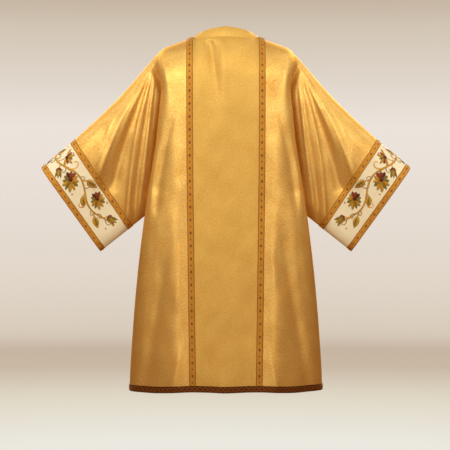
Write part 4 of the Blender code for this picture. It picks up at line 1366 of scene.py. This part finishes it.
CURLS = [
    Curl(0.092, 0.75, 0.062, 0.75, THICK_CURL),
    Curl(0.208, -0.75, 0.056, -0.70, THICK_CURL),
    Curl(0.030, -0.90, 0.036, -0.90, THIN_CURL),
    Curl(0.036, 1.10, 0.040, 0.90, THIN_CURL),
    Curl(0.084, -0.70, 0.036, -0.90, THIN_CURL),
    Curl(0.140, 1.20, 0.034, -0.90, THIN_CURL),
    Curl(0.176, 0.90, 0.040, 0.90, THIN_CURL),
    Curl(0.248, -1.10, 0.034, 0.90, THIN_CURL),
    Curl(0.268, 1.00, 0.040, -0.90, THIN_CURL),
    Curl(0.300, -0.50, 0.044, 0.90, THIN_CURL),
    Curl(0.318, 0.90, 0.024, 0.90, THIN_CURL),
]
BERRIES = [(0.022, 0.090), (0.064, 0.094), (0.166, 0.014), (0.262, 0.094), (0.326, 0.040)]


def towards(turn):
    return np.array([np.cos(turn), np.sin(turn)])


def stem_across(down):
    """How far across the band the stem lies at this distance down it."""
    return STEM_MIDDLE + STEM_SWING * np.sin(2 * np.pi * (down - STEM_START) / STEM_WAVE)


def petal(parts, place, origin, turn, length, width, thread, fullest=0.6, blunt=0.8, lift=0.0):
    """A raised petal or leaf with a dark outline and a vein."""
    shape = turned_to(leaf_outline(length, width, fullest, blunt=blunt), origin, turn)
    add_pad(parts, place, shape, lift + PAD_LIFT, PAD_HEIGHT, thread, thread_turn=turn)
    add_line(parts, place, shape, lift + OUTLINE_LIFT, OUTLINE_RADIUS, BROWN, True, sides=4)
    vein = np.asarray(origin) + np.linspace(0.15, 0.80, 5)[:, None] * towards(turn) * length
    add_line(parts, place, vein, lift + VEIN_LIFT, VEIN_RADIUS, BROWN, sides=4)


def dot(parts, place, centre, size, height, thread, lift=0.0):
    """A small round pad."""
    shape = leaf_outline(size, size, blunt=0.6, points=6) - [size / 2, 0] + np.asarray(centre)
    add_pad(parts, place, shape, lift + PAD_LIFT, height, thread)


def add_flower(parts, place, flower):
    """Long gold and olive petals hang from a dark red heart, with short red ones above them."""
    heart = np.array([flower.down, flower.across])
    for part in FLOWER_PETALS:
        turn = flower.turn + part.turn
        start = heart + 0.06 * flower.size * towards(turn)
        lift = 0.6 * MM if part.thread in (BRICK, DARK_RED) else 0.0
        petal(parts, place, start, turn, part.length * flower.size, part.width * flower.size,
              part.thread, lift=lift)
    dot(parts, place, heart, 0.22 * flower.size, 1.6 * MM, DARK_RED, lift=1.6 * MM)
    for turn in flower.turn + np.linspace(2.2, 4.0, 4):
        tip = heart + 0.17 * flower.size * towards(turn)
        dot(parts, place, tip, 0.07 * flower.size, 0.9 * MM, GOLD, lift=1.9 * MM)


def add_sprig(parts, place, sprig):
    """A bud, leaf or small blossom on its own stalk from the main stem."""
    tip = np.array([sprig.down, sprig.across])
    start = np.array([sprig.from_down, stem_across(sprig.from_down)])
    bend = (start + tip) / 2 + [0.003, 0.0]
    stalk = smooth_line([start, bend, tip], per=6)
    add_line(parts, place, stalk, STALK_LIFT, STALK_RADIUS, GOLD)
    size = sprig.size
    if sprig.kind == "leaf":
        petal(parts, place, tip, sprig.turn, size, size * 0.52, GOLD, 0.42, 1.0)
        way = towards(sprig.turn)
        half = leaf_outline(size * 0.80, size * 0.20, 0.42)
        half = turned_to(half, tip + way * 0.08 * size, sprig.turn + 0.15)
        add_pad(parts, place, half, 1.3 * MM, 0.7 * MM, OLIVE, thread_turn=sprig.turn)
        for share in (0.30, 0.48, 0.66):
            for aside in (-0.7, 0.7):
                rib = towards(sprig.turn + aside) * size * 0.20
                line = tip + way * share * size + np.linspace(0, 1, 3)[:, None] * rib
                add_line(parts, place, line, RIB_LIFT, VEIN_RADIUS, BROWN, sides=4)
    elif sprig.kind == "bud":
        for aside, thread in ((-0.30, OLIVE), (0.30, OLIVE), (0.0, GOLD)):
            petal(parts, place, tip, sprig.turn + aside, size, size * 0.26, thread, 0.5, 1.0)
        for aside in (-0.75, 0.75):
            petal(parts, place, tip, sprig.turn + aside, size * 0.42, size * 0.19, BRICK)
    else:
        threads = (GOLD, BRICK, GOLD, OLIVE, GOLD, BRICK, GOLD)
        for i, thread in enumerate(threads):
            turn = sprig.turn + (i - 3) * 0.48
            length = size * (0.62 if i % 2 else 0.80)
            petal(parts, place, tip, turn, length, size * 0.20, thread)
        dot(parts, place, tip, size * 0.24, 1.3 * MM, DARK_RED, lift=1.3 * MM)


def add_embroidery(parts, place):
    """The whole scroll on one face of a band."""
    down = np.linspace(STEM_FROM, STEM_TO, 90)
    stem = np.stack([down, stem_across(down)], axis=1)
    aside = unit(np.stack([-np.gradient(stem[:, 1]), np.gradient(stem[:, 0])], axis=1))
    taper = np.interp(down, [STEM_FROM, STEM_TO], [1.0, TAPER_TO])
    add_line(parts, place, stem, STEM_LIFT, STEM_RADIUS * taper, GOLD)
    for way in (-1, 1):
        rim = stem + aside * (way * STEM_RADIUS * taper)[:, None]
        add_line(parts, place, rim, RIM_LIFT, OUTLINE_RADIUS, BROWN, sides=4)
    for c in CURLS:
        line = curl((c.from_down, stem_across(c.from_down)), c.heading, c.length, c.turns)
        taper = np.linspace(1.0, TAPER_TO, len(line))
        thread = GOLD if c.radius == THICK_CURL else TAN
        add_line(parts, place, line, STALK_LIFT, c.radius * taper, thread, sides=5)
    for sprig in SPRIGS:
        add_sprig(parts, place, sprig)
    for flower in FLOWERS:
        add_flower(parts, place, flower)
    for berry in BERRIES:
        dot(parts, place, berry, 6.0 * MM, 2.0 * MM, BERRY)
        dot(parts, place, np.array(berry) - [0, 1.2 * MM], 2.2 * MM, 0.6 * MM, GOLD, lift=1.9 * MM)


def band_place(ribbon, front):
    """A place function for one face of a sleeve's band. Its first line is on the sleeve's side."""
    def place(down, across, lift):
        along = ribbon.length - down if front else down
        return ribbon.place(along, 1 - 2 * across / ribbon.width, lift)
    return place


# The garment

Looks = namedtuple("Looks", "figured plain wrong_side cream sewing long_braid hem cuff threads")
HANDS = (("left", -1), ("right", 1))


def make_materials():
    """Every material. A braid's and the embroidery's are in the order of their slots."""
    sewing = silk_thread("sewing_thread", "#C08832", "#94621E")
    return Looks(
        figured=gold_brocade("gold_brocade_figured", FIGURED),
        plain=gold_brocade("gold_brocade_plain", PLAIN),
        wrong_side=brocade_back("brocade_wrong_side"),
        cream=cream_satin("cream_silk_satin"),
        sewing=sewing,
        long_braid=[
            braid_ground("braid_ribbed_silk", "#B47826", "#DA9C3C"),
            twisted_cord("braid_gilt_cord", "#E6B04A", "#9C681E"),
            silk_thread("braid_dark_silk", "#74400C", "#8E5618"),
            twisted_cord("braid_gilt_knot", "#ECBA58", "#A87428"),
            twisted_cord("braid_edge_cord", "#B87C28", "#744A14"),
            sewing,
        ],
        hem=[
            braid_ground("hem_ribbed_silk", "#4C2006", "#683410"),
            twisted_cord("hem_brown_cord", "#B87028", "#542A0A"),
            silk_thread("hem_dark_silk", "#4E2008", "#66300E"),
            twisted_cord("hem_gilt_knot", "#D08C36", "#845014"),
            twisted_cord("hem_edge_cord", "#6E3A10", "#3E1E08"),
            sewing,
        ],
        cuff=[
            braid_ground("cuff_ribbed_silk", "#BA7C26", "#DEA444"),
            twisted_cord("cuff_gilt_cord", "#F4C05C", "#B87E2C"),
            silk_thread("cuff_red_brown_silk", "#8E4812", "#AA661E"),
            twisted_cord("cuff_gilt_knot", "#F8CC6C", "#C08A34"),
            twisted_cord("cuff_edge_cord", "#D09432", "#8C5C1A"),
            sewing,
        ],
        threads=[
            silk_thread("gilt_embroidery_thread", "#EAB034", "#A8741A", gilt=0.35),
            silk_thread("brown_outline_silk", "#5C3A12", "#3E260C"),
            silk_thread("olive_silk", "#968432", "#6A5C20"),
            silk_thread("brick_silk", "#A4482C", "#6E2C1A"),
            silk_thread("dark_red_silk", "#6A1212", "#420A0A"),
            silk_thread("berry_silk", "#C82A4A", "#8A1830"),
            silk_thread("tan_silk", "#9C7438", "#6C4E22"),
        ],
    )


def finished(parts, name, materials, stands_for=None):
    """One piece of the garment's only body, in place of a solid where one is named."""
    obj = parts.piece(name, materials)
    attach(obj, "root")
    if stands_for:
        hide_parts(stands_for)
    return obj


def row_line(row, at):
    """Places along one row of a grid."""
    return np.stack([np.full(len(at), float(row)), at], axis=1)


def woven_braid(name, ribbon, braid, materials):
    parts = Parts()
    add_braid(parts, ribbon, braid)
    return finished(parts, f"{name}_woven", materials, name)


def build_panel(made, face, panel, right, looks):
    """A panel, figured outside the long braids and plain between them, and its braids."""
    rows, columns = panel.grid.shape[:2]
    middle = columns // 2
    inner_line, outer_line = NECK_COLUMNS, NECK_COLUMNS + BRAID_COLUMNS
    from_middle = np.abs(np.arange(columns - 1) + 0.5 - middle)
    slots = np.where(from_middle < inner_line, 1, 0)[None]
    name = f"{face}_panel"
    parts = Parts()
    add_cloth(parts, panel, slots, inside=2)
    materials = [looks.figured, looks.plain, looks.wrong_side]
    made[name] = finished(parts, f"{name}_cloth", materials, name)
    above_hem = np.linspace(0, rows - 1 - HEM_ROWS, LINE_SAMPLES)
    for side, hand in HANDS:
        lines = sorted(middle + hand * right * line for line in (inner_line, outer_line))
        ribbon = Ribbon(panel, *[row_line(line, above_hem)[:, ::-1] for line in lines])
        name = f"{face}_braid_{side}"
        made[name] = woven_braid(name, ribbon, LONG_BRAID, looks.long_braid)
    at = np.linspace(0, columns - 1, LINE_SAMPLES)
    ribbon = Ribbon(panel, *[row_line(row, at) for row in (rows - 1 - HEM_ROWS, rows - 1)])
    name = f"{face}_hem_braid"
    made[name] = woven_braid(name, ribbon, HEM_BRAID, looks.hem)


def build_neck_band(made, side, band, looks):
    """Half the neck band, stitched along both its edges."""
    name = f"neck_band_{side}"
    parts = Parts()
    add_cloth(parts, band)
    for row in (1.0, BAND_ROWS - 1.0):
        stitch_row(parts, band, row, 2)
    materials = [looks.plain, looks.wrong_side, looks.sewing]
    made[name] = finished(parts, f"{name}_cloth", materials, name)


def build_satin(made, name, sleeve, strip, looks):
    """The cream ground of an embroidered band, on these rings of the sleeve."""
    normals = sleeve.normals[strip]
    low = sleeve.grid[strip] + normals * LAY_GAP
    satin = Cloth(sleeve.grid[strip] + normals * (LAY_GAP + SATIN_WALL), True, sleeve.flip)
    parts = Parts()
    add_shell(parts, satin.grid, low, satin.flat_places(), True, satin.flip)
    made[name] = finished(parts, f"{name}_satin", [looks.cream], name)


def build_sleeve_trim(made, side, sleeve, looks):
    """The two braids of a sleeve, and the embroidered band between them."""
    stops = np.cumsum([BLEND_RINGS + PLAIN_RINGS, BRAID_RINGS, EMBROIDERED_RINGS, BRAID_RINGS])
    round_it = np.arange(sleeve.grid.shape[1] + 1.0)
    lines = [row_line(stop, round_it) for stop in stops]
    for kind, start in (("sleeve_braid", 0), ("cuff_braid", 2)):
        name = f"{kind}_{side}"
        ribbon = Ribbon(sleeve, lines[start], lines[start + 1], closed=True)
        made[name] = woven_braid(name, ribbon, CUFF_BRAID, looks.cuff)
    strip = slice(stops[1], stops[2] + 1)
    build_satin(made, f"embroidered_band_{side}", sleeve, strip, looks)
    ribbon = Ribbon(sleeve, lines[1], lines[2], closed=True)
    name = f"embroidery_{side}"
    parts = Parts()
    for is_front in (False, True):
        add_embroidery(parts, band_place(ribbon, is_front))
    made[name] = finished(parts, name, looks.threads)


def build_garment():
    """Every piece, by the name of the solid it stands for or its own."""
    looks = make_materials()
    back = Cloth(panel_grid(front=False))
    front = Cloth(panel_grid(front=True))
    sleeves = {s: Cloth(sleeve_grid(h), closed=True, flip=h > 0) for s, h in HANDS}
    bands = {s: Cloth(band_grid(h, back.grid, front.grid), flip=h > 0) for s, h in HANDS}
    share_normals([back, front, *sleeves.values(), *bands.values()])
    made = {}
    build_panel(made, "back", back, 1, looks)
    build_panel(made, "front", front, -1, looks)
    for side, _ in HANDS:
        name = f"sleeve_{side}"
        parts = Parts()
        add_cloth(parts, sleeves[side])
        materials = [looks.figured, looks.wrong_side]
        made[name] = finished(parts, f"{name}_cloth", materials, name)
        build_neck_band(made, side, bands[side], looks)
        build_sleeve_trim(made, side, sleeves[side], looks)
    return made


# The studio

FLOOR_HEIGHT = -1.47
STUDIO_RADIUS = 14.0
COVE = 5.0
COVE_STEPS = 18
WALL_ABOVE_COVE = 3.0
FLOOR_RINGS = 9
FLOOR_START = 0.02
STUDIO_TURNS = 96
# Length of the sweep's profile that the paper's painted light covers, and the painted light
# and shade that it glows with at distances along it
STUDIO_RUN = 16.0
PAPER_PAINTED_LIGHT = [
    (1.3, "#EBE8DF"),
    (3.2, "#E1D9C7"),
    (5.6, "#C9B8A4"),
    (7.4, "#C7B5A1"),
    (9.3, "#D6C9B8"),
    (10.9, "#E1D5C8"),
    (13.3, "#ECE3DB"),
    (14.5, "#D2C5B4"),
    (14.9, "#C2B09C"),
]


def studio():
    """A round floor that sweeps up into a wall, wide enough to hold the camera on every side."""
    flat_to = STUDIO_RADIUS - COVE
    profile = [(FLOOR_START, 0.0)]
    profile += [(radius, 0.0) for radius in np.linspace(1, flat_to, FLOOR_RINGS)]
    for turn in np.linspace(0, np.pi / 2, COVE_STEPS + 1)[1:]:
        profile.append((flat_to + COVE * np.sin(turn), COVE * (1 - np.cos(turn))))
    profile.append((STUDIO_RADIUS, COVE + WALL_ABOVE_COVE))
    profile = np.array(profile)
    turns = np.linspace(0, 2 * np.pi, STUDIO_TURNS, endpoint=False)
    radius, height = profile[:, :1], profile[:, 1:]
    rings = [radius * np.cos(turns), radius * np.sin(turns), FLOOR_HEIGHT + height + 0 * turns]
    grid = np.stack(rings, axis=-1)
    index = np.arange(grid.shape[0] * STUDIO_TURNS).reshape(-1, STUDIO_TURNS)
    index = np.concatenate([index, index[:, :1]], axis=1)
    run = np.broadcast_to(lengths(profile)[:, None], index.shape)
    flat = np.stack([np.zeros(index.shape), run], axis=-1)
    parts = Parts()
    parts.add(cell_corners(index, flip=True), cell_corners(flat, flip=True))
    parts.add(index[:1, :-1], np.zeros((1, STUDIO_TURNS, 2)))
    parts.add_points(grid)
    obj = parts.piece("studio_sweep", [studio_paper("glowing_paper_painted_light")])
    # The sweep glows with painted light and shade, and gives the garment no light, reflection or
    # shadow.
    obj.visible_diffuse = False
    obj.visible_glossy = False
    obj.visible_shadow = False


def area_light(name, place, target, size, power, colour):
    data = bpy.data.lights.new(name, "AREA")
    data.shape = "RECTANGLE"
    data.size, data.size_y = size
    data.energy = power
    data.color = linear(colour)[:3]
    obj = bpy.data.objects.new(name, data)
    obj.location = place
    obj.rotation_euler = (Vector(target) - Vector(place)).to_track_quat("-Z", "Y").to_euler()
    obj.visible_camera = False
    bpy.context.scene.collection.objects.link(obj)


# Powers of the lamps in watts. Of the high ones, those to the left of a camera that faces the
# back or the front are the strong ones.
SIDE_POWER = 24
HIGH_STRONG, HIGH_WEAK = 26, 20
SOFT_POWER = 35


def light_scene():
    """Two lamps at the sides, and a high and a soft one on each side of the back and front."""
    skirt = (0.0, 0.0, -0.80)
    shoulders = (0.0, 0.0, -0.22)
    for side in (-1, 1):
        place = (2.3 * side, 0.0, 2.0)
        area_light(f"side_{side}", place, shoulders, (1.4, 1.8), SIDE_POWER, "#F0F6E8")
    for name, way in (("behind", -1), ("before", 1)):
        for side in (-1, 1):
            place = (1.0 * side, 1.7 * way, 0.8)
            sleeve = (0.40 * side, 0.0, -0.20)
            power = HIGH_STRONG if side * way > 0 else HIGH_WEAK
            area_light(f"{name}_high_{side}", place, sleeve, (1.3, 0.9), power, "#F2F6E4")
            place = (2.1 * side, 5.3 * way, 0.2)
            area_light(f"{name}_soft_{side}", place, skirt, (1.2, 2.0), SOFT_POWER, "#FFF6E0")
    world = bpy.data.worlds.new("soft_studio")
    world.use_nodes = True
    background = world.node_tree.nodes["Background"]
    background.inputs["Color"].default_value = linear("#FFB25C")
    background.inputs["Strength"].default_value = 0.26
    bpy.context.scene.world = world
    bpy.context.scene.view_settings.view_transform = "Standard"


# The photograph's frame: 1.492 m high and wide at the garment, seen from 7 m behind it
VIEW_SIZE = 1.492
VIEW_DISTANCE = 7.0
VIEW_CENTRE = (-0.003, -0.6265)
SENSOR = 36.0


def camera():
    data = bpy.data.cameras.new("camera")
    data.sensor_width = SENSOR
    data.lens = SENSOR * VIEW_DISTANCE / VIEW_SIZE
    data.clip_end = 100.0
    obj = bpy.data.objects.new("camera", data)
    obj.location = (VIEW_CENTRE[0], -VIEW_DISTANCE, VIEW_CENTRE[1])
    obj.rotation_euler = (np.pi / 2, 0.0, 0.0)
    bpy.context.scene.collection.objects.link(obj)
    bpy.context.scene.camera = obj


camera()
garment = build_garment()
studio()
light_scene()
